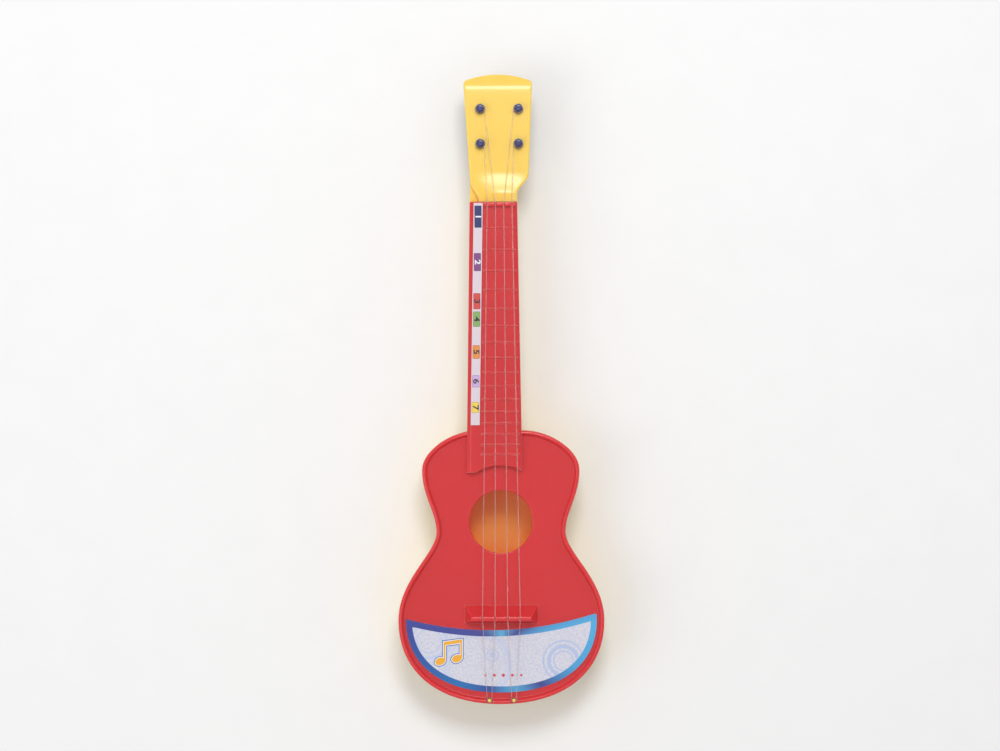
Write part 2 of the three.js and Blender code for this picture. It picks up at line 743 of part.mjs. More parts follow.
/** The crescent on the lower bout, cut off above by a sagging line. */
function bodyLabel() {
  const { cornerY, middleY, reach } = BODY_LABEL;
  const low = BOARD_Z + LABEL_GAP;
  const outline = inset(bodyOutline(), BODY_LABEL.inset).map(([x, y]) => [
    x,
    cornerY + (y - cornerY) * BODY_LABEL.shorten,
  ]);
  const steps = 12;
  const upper = [];
  for (let i = 0; i <= steps; i++) {
    const x = THREE.MathUtils.lerp(-reach, reach, i / steps);
    upper.push([x, BODY_LABEL.sag * (x / reach) ** 2]);
  }
  const above = new THREE.Shape(
    [...upper, [reach, FAR], [-reach, FAR]].map(([x, y]) => new THREE.Vector2(x, y)),
  );
  const cut = new THREE.ExtrudeGeometry(above, { depth: 2, bevelEnabled: false });
  cut.rotateZ(BODY_LABEL.turn).translate(0, middleY, low - 1);
  return slab(outline, low, low + LABEL_THICK).subtract(solid(cut));
}

// ---------------------------------------------------------------- assembly

const guitar = new THREE.Group();

function place(name, shape, look) {
  const mesh = new THREE.Mesh(geometryOf(shape), new THREE.MeshStandardMaterial(look));
  mesh.name = name;
  guitar.add(mesh);
}

place("front_shell", frontShell(), RED);
place("back_shell", backShell(), YELLOW);

PEG_PLACES.forEach(([x, y], i) => {
  place(`tuning_post_${i + 1}`, tuningPost(x, y), BLUE);
  place(`tuning_knob_${i + 1}`, tuningKnob(x, y), BLUE);
  place(`knob_screw_${i + 1}`, screw([x, y], KNOB_SCREW), STEEL);
  place(`string_winding_${i + 1}`, winding(x, y), NYLON);
});

place("string_pair_left", stringPair(-1), NYLON);
place("string_pair_right", stringPair(1), NYLON);
place("number_strip", numberStrip(), PAPER);
place("body_label", bodyLabel(), PAPER);

const shellScrews = [
  ...BODY_SCREWS.map((at) => screw(at, BODY_SCREW)),
  ...NECK_SCREWS.map((at) => screw(at, NECK_SCREW)),
];
shellScrews.forEach((shape, i) => place(`shell_screw_${i + 1}`, shape, STEEL));

export default guitar;
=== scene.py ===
"""The looks of a child's four-string guitar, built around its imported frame.

Shapes are worked out in millimetres in the frame's own axes and become metres when a piece is done.
"""

import json
import math

import bmesh
import bpy
import numpy as np
from mathutils import Matrix, Vector
from mathutils.geometry import delaunay_2d_cdt


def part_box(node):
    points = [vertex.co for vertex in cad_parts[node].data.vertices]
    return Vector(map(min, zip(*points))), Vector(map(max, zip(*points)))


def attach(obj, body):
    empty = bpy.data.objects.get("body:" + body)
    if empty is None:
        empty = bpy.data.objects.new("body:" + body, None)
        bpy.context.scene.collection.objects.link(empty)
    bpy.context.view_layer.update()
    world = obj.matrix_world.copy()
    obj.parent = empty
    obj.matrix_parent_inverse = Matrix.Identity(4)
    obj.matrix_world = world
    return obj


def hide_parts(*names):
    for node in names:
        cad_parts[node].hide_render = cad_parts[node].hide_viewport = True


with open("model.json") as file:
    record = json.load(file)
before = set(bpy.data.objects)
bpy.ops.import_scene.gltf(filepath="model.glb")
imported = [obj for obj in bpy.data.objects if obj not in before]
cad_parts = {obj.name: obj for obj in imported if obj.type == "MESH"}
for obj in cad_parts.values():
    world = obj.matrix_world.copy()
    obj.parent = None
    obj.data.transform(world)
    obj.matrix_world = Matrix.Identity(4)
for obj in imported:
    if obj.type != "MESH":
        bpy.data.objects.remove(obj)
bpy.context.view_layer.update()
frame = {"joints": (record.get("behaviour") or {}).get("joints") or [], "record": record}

MM = 0.001


def box_mm(node):
    """The lowest and highest corner of a CAD node, in millimetres."""
    low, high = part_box(node)
    return low / MM, high / MM


# ---- sizes

FRONT_LOW, FRONT_HIGH = box_mm("front_shell")
TAIL_Y = FRONT_LOW.y
NECK_TOP_Y = FRONT_HIGH.y
BRIDGE_TOP_Z = FRONT_HIGH.z
HEAD_TOP_Y = box_mm("back_shell")[1].y
LABEL_GAP = 0.05
BOARD_Z = box_mm("body_label")[0].z - LABEL_GAP
FINGERBOARD_Z = box_mm("number_strip")[0].z - LABEL_GAP
RIM_Z = BOARD_Z + 2
PARTING_Z = BOARD_Z - 8
PEGS = {joint["child"]: Vector(joint["pos_m"]) / MM for joint in frame["joints"]}

# Walls and edges of the two shells
WALL = 2
SHELL_STEP = 0.3
RIM_WIDTH = 3.5
RIM_CREST = 1.5
RIM_SHOULDER = 1.6
BACK_ROUND = 6
FLOOR = 2.2
LIP = 0.25
SUNK = 0.5
FAR = 250
SHARP_ANGLE = math.radians(20)
WELD = 0.0008

# Body outline, right half: five places, and the two handle lengths of each curve between them
SHOULDER = Vector((14, -24.2))
UPPER_BOUT = Vector((45.7, -47.1))
WAIST = Vector((37.5, -82.9))
LOWER_BOUT = Vector((FRONT_HIGH.x, -134.4))
TAIL = Vector((0, TAIL_Y))
HANDLES = ((13.7, 12.1), (15.4, 11.6), (12.7, 24), (28.9, 38.2))
CURVE_STEPS = 40

# Sound hole and neck
HOLE_Y = -77.1
HOLE_R = 18.3
FINGERBOARD_END_Y = -44.3
FINGERBOARD_ARC_R = 26.5
FLANGE_END_Y = -48.3
NUT_Y = 106.8
SADDLE_Y = -133
NECK_JOINT_Y = -24
NECK_TENON = 12
FRETTED_HALF_AT_NUT = 10.2
FRETTED_HALF_AT_JOINT = 12.2
FLANGE_WIDTH = 7.2
NECK_BEVEL = 2.2
NECK_BEVEL_DROP = 1.5
NECK_BACK_Z = 17
HEEL_Y = (-28, -4)
HEEL_DEPTH = 7
NECK_THINS_Y = (106, 122)
THIN_DEPTH = 2.5
FRET_COUNT = 16
FRET_HEIGHT = 0.8
FRET_WIDTH = 1.1
NUT_HEIGHT = 2.5
NUT_WIDTH = 2.4
BAR_LEFT_MARGIN = 1
BAR_RIGHT_MARGIN = 1.2

# Bridge
BRIDGE_FRONT_Y = -124.8
BRIDGE_BACK_Y = -136.4
BRIDGE_RIDGE_WIDTH = 2
BRIDGE_BASE_HALF = 21.6
BRIDGE_RIDGE_HALF = 17.3

# Headstock. Each side is (half width at its corner, at its foot, foot's y, at the neck, neck's y).
HEAD_FACE_Z = 33.5
HEAD_BACK_Z = 24
HEAD_CORNER_Y = 179
HEAD_RIGHT = (19.2, 17, 124.5, FRETTED_HALF_AT_NUT, 113.5)
HEAD_LEFT = (20.9, 17.1, 120.5, 12.2, 108.9)
HEAD_START_Y = NECK_TOP_Y + 0.3
HEAD_FLAT_END_Y = 175.7
HEAD_ROLL_SLOPE = math.tan(math.radians(22))
RAMP_LOW_Y = 126
RAMP_HIGH_Y = 114.4
RAMP_RISE = 2.4
RAMP_CROWN_X = 1.8
RAMP_CROWN = 0.009
RAMP_POWER = 1.5
HEAD_SHELF_Z = 30.5
HEAD_PLATE = 2.5

# Pegs, strings and screws
CLEAR = 0.3
POST_R = 2.3
POST_TAIL_R = 1.9
POST_PILOT_R = 1.3
POST_FLANGE_R = 2.9
POST_FLANGE = 0.8
PEG_BORE_R = POST_R + CLEAR
PEG_BOSS_R = 4.6
KNOB_SHOULDER_Z = 14.6
KNOB_HUB_R = 4.2
KNOB_HUB_LOW = 16.6
KNOB_CORE_R = 3.6
KNOB_WING_TOP = 20
KNOB_WING_THICK = 4.6
STRING_R = 0.25
STRING_GAP = 0.02
NUT_NOTCH_XS = (7.2, 2.4)
SADDLE_NOTCH_XS = (10.95, 3.65)
SADDLE_NOTCH_REACH = 5
NOTCH_WIDTH = 1.3
NOTCH_DEPTH = 0.9
LUG_X = 7.1
LUG_Y = -180.7
LUG_R = 1
LUG_BOTTOM = 14
LUG_TOP = 36
LUG_LOOP_Z = 35.2
BOSS_R = 4.2
PILOT_BOSS_R = 3.6
PILOT_R = 1.45
SCREW_HOLE_R = 1.7
SCREW_SHANK_R = 1.15
SCREW_HEAD_R = 2.6
SCREW_HEAD = 2
COUNTERBORE_R = 3.1
KNOB_SCREW_SHANK_R = 1
KNOB_SCREW_HEAD_R = 2.2
KNOB_SCREW_HEAD = 1.6
BODY_BOSS = {"mouth": 0, "low": 1, "shoulder": 13, "top": 21.2, "pilot": 21.5}
NECK_BOSS = {"mouth": NECK_BACK_Z, "low": 18, "shoulder": 20.2, "top": 24.2, "pilot": 24.6}

# Labels. A strip's block is (how far below its fret's middle, its share of the fret's length).
INK = 0.02
STRIP_WIDTH = 5.2
STRIP_TOP_X = -9.8
STRIP_FOOT_X = -12.1
DIGIT_SIZE = 4.6
DIGIT_WIDENING = 1.3
BLOCK_WIDTH = 4.1
BLOCK_EDGE = 0.4
BLOCK_COLOURS = (
    ((32, 44, 102), (22, 30, 82)), ((124, 70, 126), (92, 50, 98)), ((206, 72, 68), (140, 38, 42)),
    ((132, 168, 96), (56, 100, 52)), ((226, 140, 60), (150, 80, 38)),
    ((198, 168, 214), (122, 84, 152)), ((232, 206, 80), (160, 132, 38)),
)
FIRST_BLOCK = (0.2, 0.95)
OTHER_BLOCKS = (1.1, 0.87)
LABEL_INSET = 4.4
LABEL_SHORTEN = 0.955
LABEL_CORNER_Y = -130
LABEL_MIDDLE_Y = -140
LABEL_CENTRE_Y = -150
LABEL_SAG = 9.6
LABEL_REACH = 60
LABEL_TURN = math.radians(1.6)
LABEL_BORDER = 3.5
LABEL_BORDER_SHADES = (
    (0.0, (44, 80, 158)), (0.12, (34, 112, 178)), (0.2, (56, 78, 154)), (0.3, (82, 164, 212)),
    (0.38, (60, 66, 142)), (0.46, (74, 160, 212)), (0.54, (82, 172, 222)), (0.62, (74, 76, 152)),
    (0.75, (92, 176, 220)), (0.9, (74, 76, 152)), (0.97, (58, 68, 148)), (1.0, (44, 80, 158)),
)
LABEL_RINGS = (
    (35.9, -158, ((5.6, 0.5), (8.4, 1.4), (11.7, 0.6)), (166, 186, 224)),
    (-14, -160, ((16.5, 0.6), (19, 1.3)), (190, 202, 230)),
    (-42, -146, ((7, 0.6), (10, 1.0), (13, 0.5)), (184, 198, 230)),
    (-5.3, -154.6, ((0, 2.2), (3.4, 0.5)), (176, 192, 228)),
)
MARK_PLACE = (-31, -152.5)
MARK_SIZE = 11
DOTS_PLACE = (1, -166.2)
DOT_SPACING = 5.2
DOT_R = 0.95


# ---- mesh tools

def add_object(name, data):
    """An object in the scene that shows a mesh, a text, a light or a camera."""
    made = bpy.data.objects.new(name, data)
    bpy.context.scene.collection.objects.link(made)
    return made


def edit(mesh, work):
    """Does some work on a mesh as a bmesh, and writes it back."""
    build = bmesh.new()
    build.from_mesh(mesh)
    work(build)
    build.to_mesh(mesh)
    build.free()


def point_outwards(build):
    bmesh.ops.recalc_face_normals(build, faces=build.faces)


def new_piece(name, vertices, faces):
    """A closed mesh object, in millimetres, with its faces pointing out."""
    mesh = bpy.data.meshes.new(name)
    mesh.from_pydata([tuple(v) for v in vertices], [], faces)
    edit(mesh, point_outwards)
    return add_object(name, mesh)


def side_faces(count, levels):
    """The faces between rings of count points, one ring above another."""
    faces = []
    for here in range(0, (levels - 1) * count, count):
        for i in range(count):
            j = (i + 1) % count
            faces.append((here + i, here + j, here + count + j, here + count + i))
    return faces


def loft(rings):
    """A solid through rings of equal length."""
    count = len(rings[0])
    levels = len(rings)
    vertices = [point for ring in rings for point in ring]
    caps = [tuple(range(count))[::-1], tuple(range((levels - 1) * count, levels * count))]
    return new_piece("loft", vertices, side_faces(count, levels) + caps)


def level_ring(outline, z):
    """An outline of (x, y) points as a ring at height z."""
    return [(x, y, z) for x, y in outline]


def circle(radius, x, y, sides):
    angles = np.linspace(0, 2 * math.pi, sides, endpoint=False)
    return [(x + radius * math.cos(a), y + radius * math.sin(a)) for a in angles]


def turned(profile, x, y, sides):
    """A solid turned from (radius, z) points, none of them on the axis."""
    return loft([level_ring(circle(r, x, y, sides), z) for r, z in profile])


def slab(outline, low, high):
    return loft([level_ring(outline, low), level_ring(outline, high)])


def hull(points, rounding=0):
    """The convex solid round a few points, with rounded edges."""
    def wrap(build):
        for point in points:
            build.verts.new(point)
        made = bmesh.ops.convex_hull(build, input=build.verts)
        spare = [item for item in made["geom_interior"] if isinstance(item, bmesh.types.BMVert)]
        bmesh.ops.delete(build, geom=spare, context="VERTS")
        bmesh.ops.dissolve_limit(build, angle_limit=0.01, verts=build.verts, edges=build.edges)

    def bevel(build):
        sharp = [edge for edge in build.edges if edge.calc_face_angle(0) > SHARP_ANGLE]
        settings = {"segments": 3, "profile": 0.5, "affect": "EDGES", "clamp_overlap": True}
        bmesh.ops.bevel(build, geom=sharp, offset=rounding, **settings)

    mesh = bpy.data.meshes.new("hull")
    edit(mesh, wrap)
    if rounding:
        edit(mesh, bevel)
    return add_object("hull", mesh)


def box(low, high, rounding=0):
    corners = [(x, y, z) for x in (low[0], high[0]) for y in (low[1], high[1]) for z in (low[2], high[2])]
    return hull(corners, rounding)


def arc(start, turn, steps):
    """Angles at even steps through a turn, with both its ends."""
    return [start + turn * i / steps for i in range(steps + 1)]


def quarter_arc(steps):
    return arc(0, math.pi / 2, steps)


def combine(target, tools, operation):
    """Joins the tools to the target or cuts them from it, and removes them."""
    for tool in tools:
        step = target.modifiers.new("combine", "BOOLEAN")
        step.operation = operation
        step.solver = "MANIFOLD"
        step.object = tool
    apply_modifiers(target)
    for tool in tools:
        bpy.data.objects.remove(tool)
    return target


def join(target, *tools):
    return combine(target, tools, "UNION")


def cut(target, *tools):
    return combine(target, tools, "DIFFERENCE")


def apply_modifiers(piece):
    bpy.context.view_layer.update()
    graph = bpy.context.evaluated_depsgraph_get()
    mesh = bpy.data.meshes.new_from_object(piece.evaluated_get(graph), depsgraph=graph)
    piece.modifiers.clear()
    piece.data = mesh


def gather(pieces):
    """Several separate solids as one object."""
    def collect(build):
        for piece in pieces:
            build.from_mesh(piece.data)
            bpy.data.objects.remove(piece)

    mesh = bpy.data.meshes.new("gathered")
    edit(mesh, collect)
    return add_object("gathered", mesh)


def inset(outline, distance):
    """A smooth closed outline of (x, y) points moved inwards."""
    points = np.asarray(outline, float)
    along = np.roll(points, -1, axis=0) - np.roll(points, 1, axis=0)
    along /= np.linalg.norm(along, axis=1)[:, None]
    x, y = points[:, 0], points[:, 1]
    clockwise = np.sum(x * np.roll(y, -1) - y * np.roll(x, -1)) < 0
    side = 1 if clockwise else -1
    inwards = np.stack([along[:, 1], -along[:, 0]], axis=1) * side
    return [tuple(p) for p in points + inwards * distance]


def eased(outline, spacing, rounding):
    """A closed outline resampled at even steps, with its corners rounded off."""
    points = np.asarray([*outline, outline[0]], float)
    steps = np.linalg.norm(np.diff(points, axis=0), axis=1)
    run = np.concatenate([[0], np.cumsum(steps)])
    count = int(run[-1] / spacing)
    places = np.arange(count) * run[-1] / count
    even = np.stack([np.interp(places, run, points[:, axis]) for axis in (0, 1)], axis=1)
    reach = int(3 * rounding / spacing)
    weights = np.exp(-0.5 * (np.arange(-reach, reach + 1) * spacing / rounding) ** 2)
    weights /= weights.sum()
    smooth = sum(w * np.roll(even, k, axis=0) for k, w in zip(range(-reach, reach + 1), weights))
    return [tuple(p) for p in smooth]


def smoothstep(value, low, high):
    share = min(max((value - low) / (high - low), 0), 1)
    return share * share * (3 - 2 * share)


def mix(a, b, share):
    return a + (b - a) * share


def quarter_round(steps):
    """Shares of a radius along a quarter circle: what is left to go, and what is gone."""
    return [(1 - math.sin(a), 1 - math.cos(a)) for a in quarter_arc(steps)]


def rounded_foot(side, low, radius, steps):
    """(inset, z) pairs that round the foot of a wall at inset side."""
    return [(side + radius * left, low + radius * gone) for left, gone in quarter_round(steps)]


def rounded_top(side, high, across, down, steps):
    """(inset, z) pairs that round the top of a wall at inset side."""
    return [(side + across * gone, high - down * left) for left, gone in quarter_round(steps)]


def stepped(outline, profile):
    """A solid whose outline is inset by the (inset, z) pairs of a profile."""
    return loft([level_ring(inset(outline, d), z) for d, z in profile])


def relief(outline, face, low, foot_round, top_round, grid):
    """A slab whose top follows face(x, y), with rounded edges all round."""
    steps = 6
    rings = [level_ring(inset(outline, d), z) for d, z in rounded_foot(0, low, foot_round, steps)]
    for d, z in rounded_top(0, 0, top_round, top_round, steps):
        rings.append([(x, y, face(x, y) + z) for x, y in inset(outline, d)])
    count = len(outline)
    vertices = [point for ring in rings for point in ring]
    faces = [tuple(range(count))[::-1], *side_faces(count, len(rings))]
    edge = [Vector(point[:2]) for point in rings[-1]]
    loop = [(i, (i + 1) % count) for i in range(count)]
    inner = grid_inside(edge, grid)
    places, _, triangles, originals, _, _ = delaunay_2d_cdt(edge + inner, loop, [], 1, 1e-6)
    index = {}
    for i, place in enumerate(places):
        rim = [source for source in originals[i] if source < count]
        if rim:
            index[i] = (len(rings) - 1) * count + rim[0]
        else:
            index[i] = len(vertices)
            vertices.append((place.x, place.y, face(place.x, place.y)))
    faces += [tuple(index[i] for i in triangle) for triangle in triangles]
    return new_piece("relief", vertices, faces)


def grid_inside(edge, spacing):
    """Points of a square grid inside a closed edge and clear of it."""
    xs = [p.x for p in edge]
    ys = [p.y for p in edge]
    found = []
    for x in np.arange(min(xs) + spacing, max(xs), spacing):
        for y in np.arange(min(ys) + spacing, max(ys), spacing):
            if inside(edge, x, y) and edge_distance(edge, Vector((x, y))) > spacing * 0.4:
                found.append(Vector((x, y)))
    return found


def inside(edge, x, y):
    crossings = 0
    for a, b in zip(edge, edge[1:] + edge[:1]):
        if (a.y > y) != (b.y > y) and x < a.x + (y - a.y) / (b.y - a.y) * (b.x - a.x):
            crossings += 1
    return crossings % 2 == 1


def edge_distance(edge, point):
    return min((point - place).length for place in edge)


def tube(path, radius, sides=12):
    """A round bar along a path of points, with closed ends."""
    points = [Vector(p) for p in path]
    rings = []
    across = None
    for i, point in enumerate(points):
        before = points[max(i - 1, 0)]
        after = points[min(i + 1, len(points) - 1)]
        along = (after - before).normalized()
        if across is None:
            across = along.orthogonal().normalized()
        across = (across - along * across.dot(along)).normalized()
        other = along.cross(across)
        ring = []
        for a in arc(0, 2 * math.pi, sides)[:-1]:
            ring.append(tuple(point + (across * math.cos(a) + other * math.sin(a)) * radius))
        rings.append(ring)
    return loft(rings)


def finish(piece, name, node, material, crease=32):
    """Cleans a piece, shades it, and lets it stand for a CAD node under the node's body."""
    def clean(build):
        bmesh.ops.remove_doubles(build, verts=build.verts, dist=WELD)
        bmesh.ops.dissolve_degenerate(build, edges=build.edges, dist=WELD)
        point_outwards(build)

    edit(piece.data, clean)
    piece.data.transform(Matrix.Scale(MM, 4))
    piece.data.shade_smooth()
    piece.data.set_sharp_from_angle(angle=math.radians(crease))
    step = piece.modifiers.new("normals", "WEIGHTED_NORMAL")
    step.keep_sharp = True
    apply_modifiers(piece)
    piece.name = name
    piece.data.name = name
    if material:
        paint(piece, material)
    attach(piece, body_of_node(node))
    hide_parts(node)
    return piece


def body_of_node(node):
    bodies = frame["record"]["behaviour"]["bodies"]
    return next(body for body, members in bodies.items() if node in members)


# ---- shared outlines

def bezier(start, start_handle, end_handle, end):
    """Points of one curve between two places, without its last point."""
    points = []
    for i in range(CURVE_STEPS):
        t = i / CURVE_STEPS
        a, b = start + start_handle, end + end_handle
        point = start * (1 - t) ** 3 + a * 3 * t * (1 - t) ** 2 + b * 3 * t * t * (1 - t) + end * t**3
        points.append((point.x, point.y))
    return points


def body_outline():
    """The body's outline in plan, clockwise from the right shoulder."""
    across = Vector((1, 0))
    down = Vector((0, -1))
    (after_shoulder, before_bout), (after_bout, before_waist), (after_waist, before_low), tail = HANDLES
    right = [
        *bezier(SHOULDER, across * after_shoulder, -down * before_bout, UPPER_BOUT),
        *bezier(UPPER_BOUT, down * after_bout, -down * before_waist, WAIST),
        *bezier(WAIST, down * after_waist, -down * before_low, LOWER_BOUT),
        *bezier(LOWER_BOUT, down * tail[0], across * tail[1], TAIL),
    ]
    left = [(-x, y) for x, y in right][::-1]
    top = [(x, SHOULDER.y) for x in np.linspace(-SHOULDER.x, SHOULDER.x, 8)[1:-1]]
    return [*right, tuple(TAIL), *left, *top]


def back_outline():
    """The back shell's outline, a little inside the front shell's."""
    return inset(body_outline(), SHELL_STEP)


def fretted_half(y):
    """How far the fretted part of the neck reaches to each side at y."""
    share = (NECK_TOP_Y - y) / (NECK_TOP_Y - NECK_JOINT_Y)
    return mix(FRETTED_HALF_AT_NUT, FRETTED_HALF_AT_JOINT, share)


def fret_y(number):
    return NUT_Y - (NUT_Y - SADDLE_Y) * (1 - 2 ** (-number / 12))


def neck_plan(high_y, low_y, margin=0):
    """The neck in plan between two places, clockwise from the flange's upper corner."""
    return [
        (-fretted_half(high_y) - FLANGE_WIDTH + margin, high_y),
        (fretted_half(high_y) - margin, high_y), (fretted_half(low_y) - margin, low_y),
        (-fretted_half(low_y) - FLANGE_WIDTH + margin, low_y),
    ]


def screw_places():
    """Where the shells' screws are, as (x, y), from their nodes."""
    places = []
    for part in frame["record"]["subparts"]:
        if part["node"].startswith("shell_screw"):
            low, high = box_mm(part["node"])
            places.append(((low.x + high.x) / 2, (low.y + high.y) / 2))
    return places


def at_screws(profiles_of, bore_sides):
    """Tubes and bores at every shell screw, from its boss's heights."""
    tubes, bores = [], []
    for place in screw_places():
        shell, bore = profiles_of(NECK_BOSS if place[1] > NECK_JOINT_Y else BODY_BOSS)
        tubes.append(turned(shell, *place, 32))
        bores.append(turned(bore, *place, bore_sides))
    return gather(tubes), gather(bores)


# ---- front shell

def soundboard():
    """The body's front: side wall, rim bead and flat board."""
    steps = 8
    shoulder = rounded_top(0, RIM_Z, RIM_CREST, RIM_SHOULDER, steps)
    profile = [(LIP, PARTING_Z), (0, PARTING_Z + LIP), *shoulder]
    for i in range(1, steps + 1):
        drop = (RIM_Z - BOARD_Z) * (1 - math.cos(math.pi * i / steps)) / 2
        profile.append((mix(RIM_CREST, RIM_WIDTH, i / steps), RIM_Z - drop))
    return stepped(body_outline(), profile)


def fingerboard():
    """The neck's front with its bevelled edges: an arc ends it, then a straight edge the flange."""
    points = []
    for y in (NECK_TOP_Y, HOLE_Y):
        left = -fretted_half(y) - FLANGE_WIDTH
        right = fretted_half(y)
        bevel_z = FINGERBOARD_Z - NECK_BEVEL_DROP
        points += [
            (left, y, PARTING_Z), (left, y, bevel_z), (left + NECK_BEVEL, y, FINGERBOARD_Z),
            (right - NECK_BEVEL, y, FINGERBOARD_Z), (right, y, bevel_z), (right, y, PARTING_Z),
        ]
    centre_y = FINGERBOARD_END_Y - FINGERBOARD_ARC_R
    arc = flared_cutter(centre_y, FINGERBOARD_ARC_R, PARTING_Z - 1, FINGERBOARD_Z, 0.6)
    rest = box((-FAR, -FAR, PARTING_Z - 1), (FAR, FLANGE_END_Y, FINGERBOARD_Z + 1))
    return cut(hull(points, 0.35), join(arc, rest))


def flared_cutter(y, radius, low, high, rounding):
    """A round cutter centred on the middle line that leaves a rounded edge at height high."""
    edge = rounded_top(radius, high, rounding, rounding, 5)
    return turned([(radius, low), *edge, (radius + rounding, high + 1)], 0, y, 128)


def fret(number):
    """A half-round bar across the fretted part of the neck."""
    y = fret_y(number)
    left = -fretted_half(y) + BAR_LEFT_MARGIN
    right = fretted_half(y) - BAR_RIGHT_MARGIN
    foot = 0.2
    end_slope = 0.3
    points = []
    for a in arc(0, math.pi, 8):
        drop = end_slope * math.sin(a)
        place = y + FRET_WIDTH / 2 * math.cos(a)
        z = FINGERBOARD_Z - foot + (FRET_HEIGHT + foot) * math.sin(a)
        points += [(left + drop, place, z), (right - drop, place, z)]
    return hull(points)


def nut():
    draft = 0.35
    foot = (NUT_WIDTH / 2, FINGERBOARD_Z - SUNK)
    top = (NUT_WIDTH / 2 - draft, FINGERBOARD_Z + NUT_HEIGHT)
    left = -fretted_half(NUT_Y) + BAR_LEFT_MARGIN
    right = fretted_half(NUT_Y) - BAR_RIGHT_MARGIN
    points = []
    for reach, z in (foot, top):
        for x in (left, right):
            points += [(x, NUT_Y - reach, z), (x, NUT_Y + reach, z)]
    return hull(points, 0.4)


def bridge():
    """A wedge that rises gently from the sound hole and drops steeply to the tail."""
    points = []
    for side in (-1, 1):
        for y in (BRIDGE_FRONT_Y, BRIDGE_BACK_Y):
            points.append((side * BRIDGE_BASE_HALF, y, BOARD_Z - 1))
        for y in (SADDLE_Y - BRIDGE_RIDGE_WIDTH / 2, SADDLE_Y + BRIDGE_RIDGE_WIDTH / 2):
            points.append((side * BRIDGE_RIDGE_HALF, y, BRIDGE_TOP_Z))
    return hull(points, 0.5)


def string_notches(xs, y, reach, top):
    """Round-bottomed cuts for the four strings across a bar."""
    cutters = []
    for x in xs:
        for side in (-1, 1):
            section = []
            for a in arc(math.pi, math.pi, 8):
                across = side * x + NOTCH_WIDTH / 2 * math.cos(a)
                depth = top - NOTCH_DEPTH + NOTCH_WIDTH / 2 * (1 + math.sin(a))
                section.append((across, depth))
            section += [(side * x + NOTCH_WIDTH, top + 1), (side * x - NOTCH_WIDTH, top + 1)]
            rings = [[(px, y + end * reach, pz) for px, pz in section] for end in (-1, 1)]
            cutters.append(loft(rings))
    return gather(cutters)


def lug_notches():
    """The rim's openings for the tail lugs and the lines looped round them."""
    loop_half = LUG_R + 2 * STRING_R + 2 * CLEAR
    slot_half = LUG_R + CLEAR
    cutters = []
    for x in (-LUG_X, LUG_X):
        low = (x - loop_half, TAIL_Y - 1, LUG_LOOP_Z - STRING_R - SUNK)
        high = (x + loop_half, LUG_Y + LUG_R + 1, RIM_Z + 1)
        slot_low = (x - slot_half, LUG_Y - slot_half, PARTING_Z - 1)
        slot_high = (x + slot_half, LUG_Y + slot_half, RIM_Z)
        cutters.append(join(box(low, high, 0.35), box(slot_low, slot_high, 0.3)))
    return gather(cutters)


def front_hollow():
    """The room behind the soundboard and behind the neck's front."""
    low = PARTING_Z - 3
    rounding = 1
    edge = rounded_top(WALL, BOARD_Z - WALL, rounding, rounding, 5)
    plan = neck_plan(NECK_TOP_Y - WALL, FINGERBOARD_END_Y + WALL, WALL)
    return join(stepped(body_outline(), [(WALL, low), *edge]), slab(plan, low, FINGERBOARD_Z - WALL))


def front_boss(boss):
    """Profiles of a tube that takes a screw's thread, and of its bore."""
    low = boss["pilot"]
    top = (FINGERBOARD_Z if boss is NECK_BOSS else BOARD_Z) - SUNK
    shell = [(PILOT_BOSS_R - CLEAR, low), (PILOT_BOSS_R, low + CLEAR), (PILOT_BOSS_R, top)]
    return shell, [(PILOT_R, low - 1), (PILOT_R, top - WALL)]


def build_front_shell(material):
    shell = join(soundboard(), fingerboard())
    cut(shell, front_hollow(), flared_cutter(HOLE_Y, HOLE_R, PARTING_Z - 1, BOARD_Z, 0.7))
    tubes, bores = at_screws(front_boss, 24)
    join(shell, bridge(), nut(), *[fret(n) for n in range(1, FRET_COUNT + 1)], tubes)
    nut_cuts = string_notches(NUT_NOTCH_XS, NUT_Y, NUT_WIDTH, FINGERBOARD_Z + NUT_HEIGHT)
    saddle_cuts = string_notches(SADDLE_NOTCH_XS, SADDLE_Y, SADDLE_NOTCH_REACH, BRIDGE_TOP_Z)
    cut(shell, nut_cuts, saddle_cuts, bores, lug_notches())
    return finish(shell, "moulded_front", "front_shell", material)


# ---- back shell

def head_half(y, shape):
    """How far one side of the headstock reaches at y: straight, then an S-curve into the neck."""
    corner, foot, foot_y, neck, neck_y = shape
    if y >= foot_y:
        return mix(foot, corner, (y - foot_y) / (HEAD_CORNER_Y - foot_y))
    return mix(neck, foot, smoothstep(y, neck_y, foot_y))


def head_outline(low_y):
    """The headstock's face in plan down to low_y, clockwise from its top left corner."""
    left_x, right_x = -HEAD_LEFT[0], HEAD_RIGHT[0]
    half = (right_x - left_x) / 2
    middle = (right_x + left_x) / 2
    rise = HEAD_TOP_Y - HEAD_CORNER_Y
    radius = (half**2 + rise**2) / (2 * rise)
    corner = 0.8
    top = []
    for x in np.linspace(corner - half, half - corner, 28):
        top.append((middle + x, HEAD_TOP_Y - radius + math.sqrt(radius**2 - x * x)))
    levels = np.linspace(HEAD_CORNER_Y - corner, low_y, 80)
    right = [(head_half(y, HEAD_RIGHT), y) for y in levels]
    left = [(-head_half(y, HEAD_LEFT), y) for y in levels[::-1]]
    return eased([*top, *right, *left], spacing=0.6, rounding=1.0)


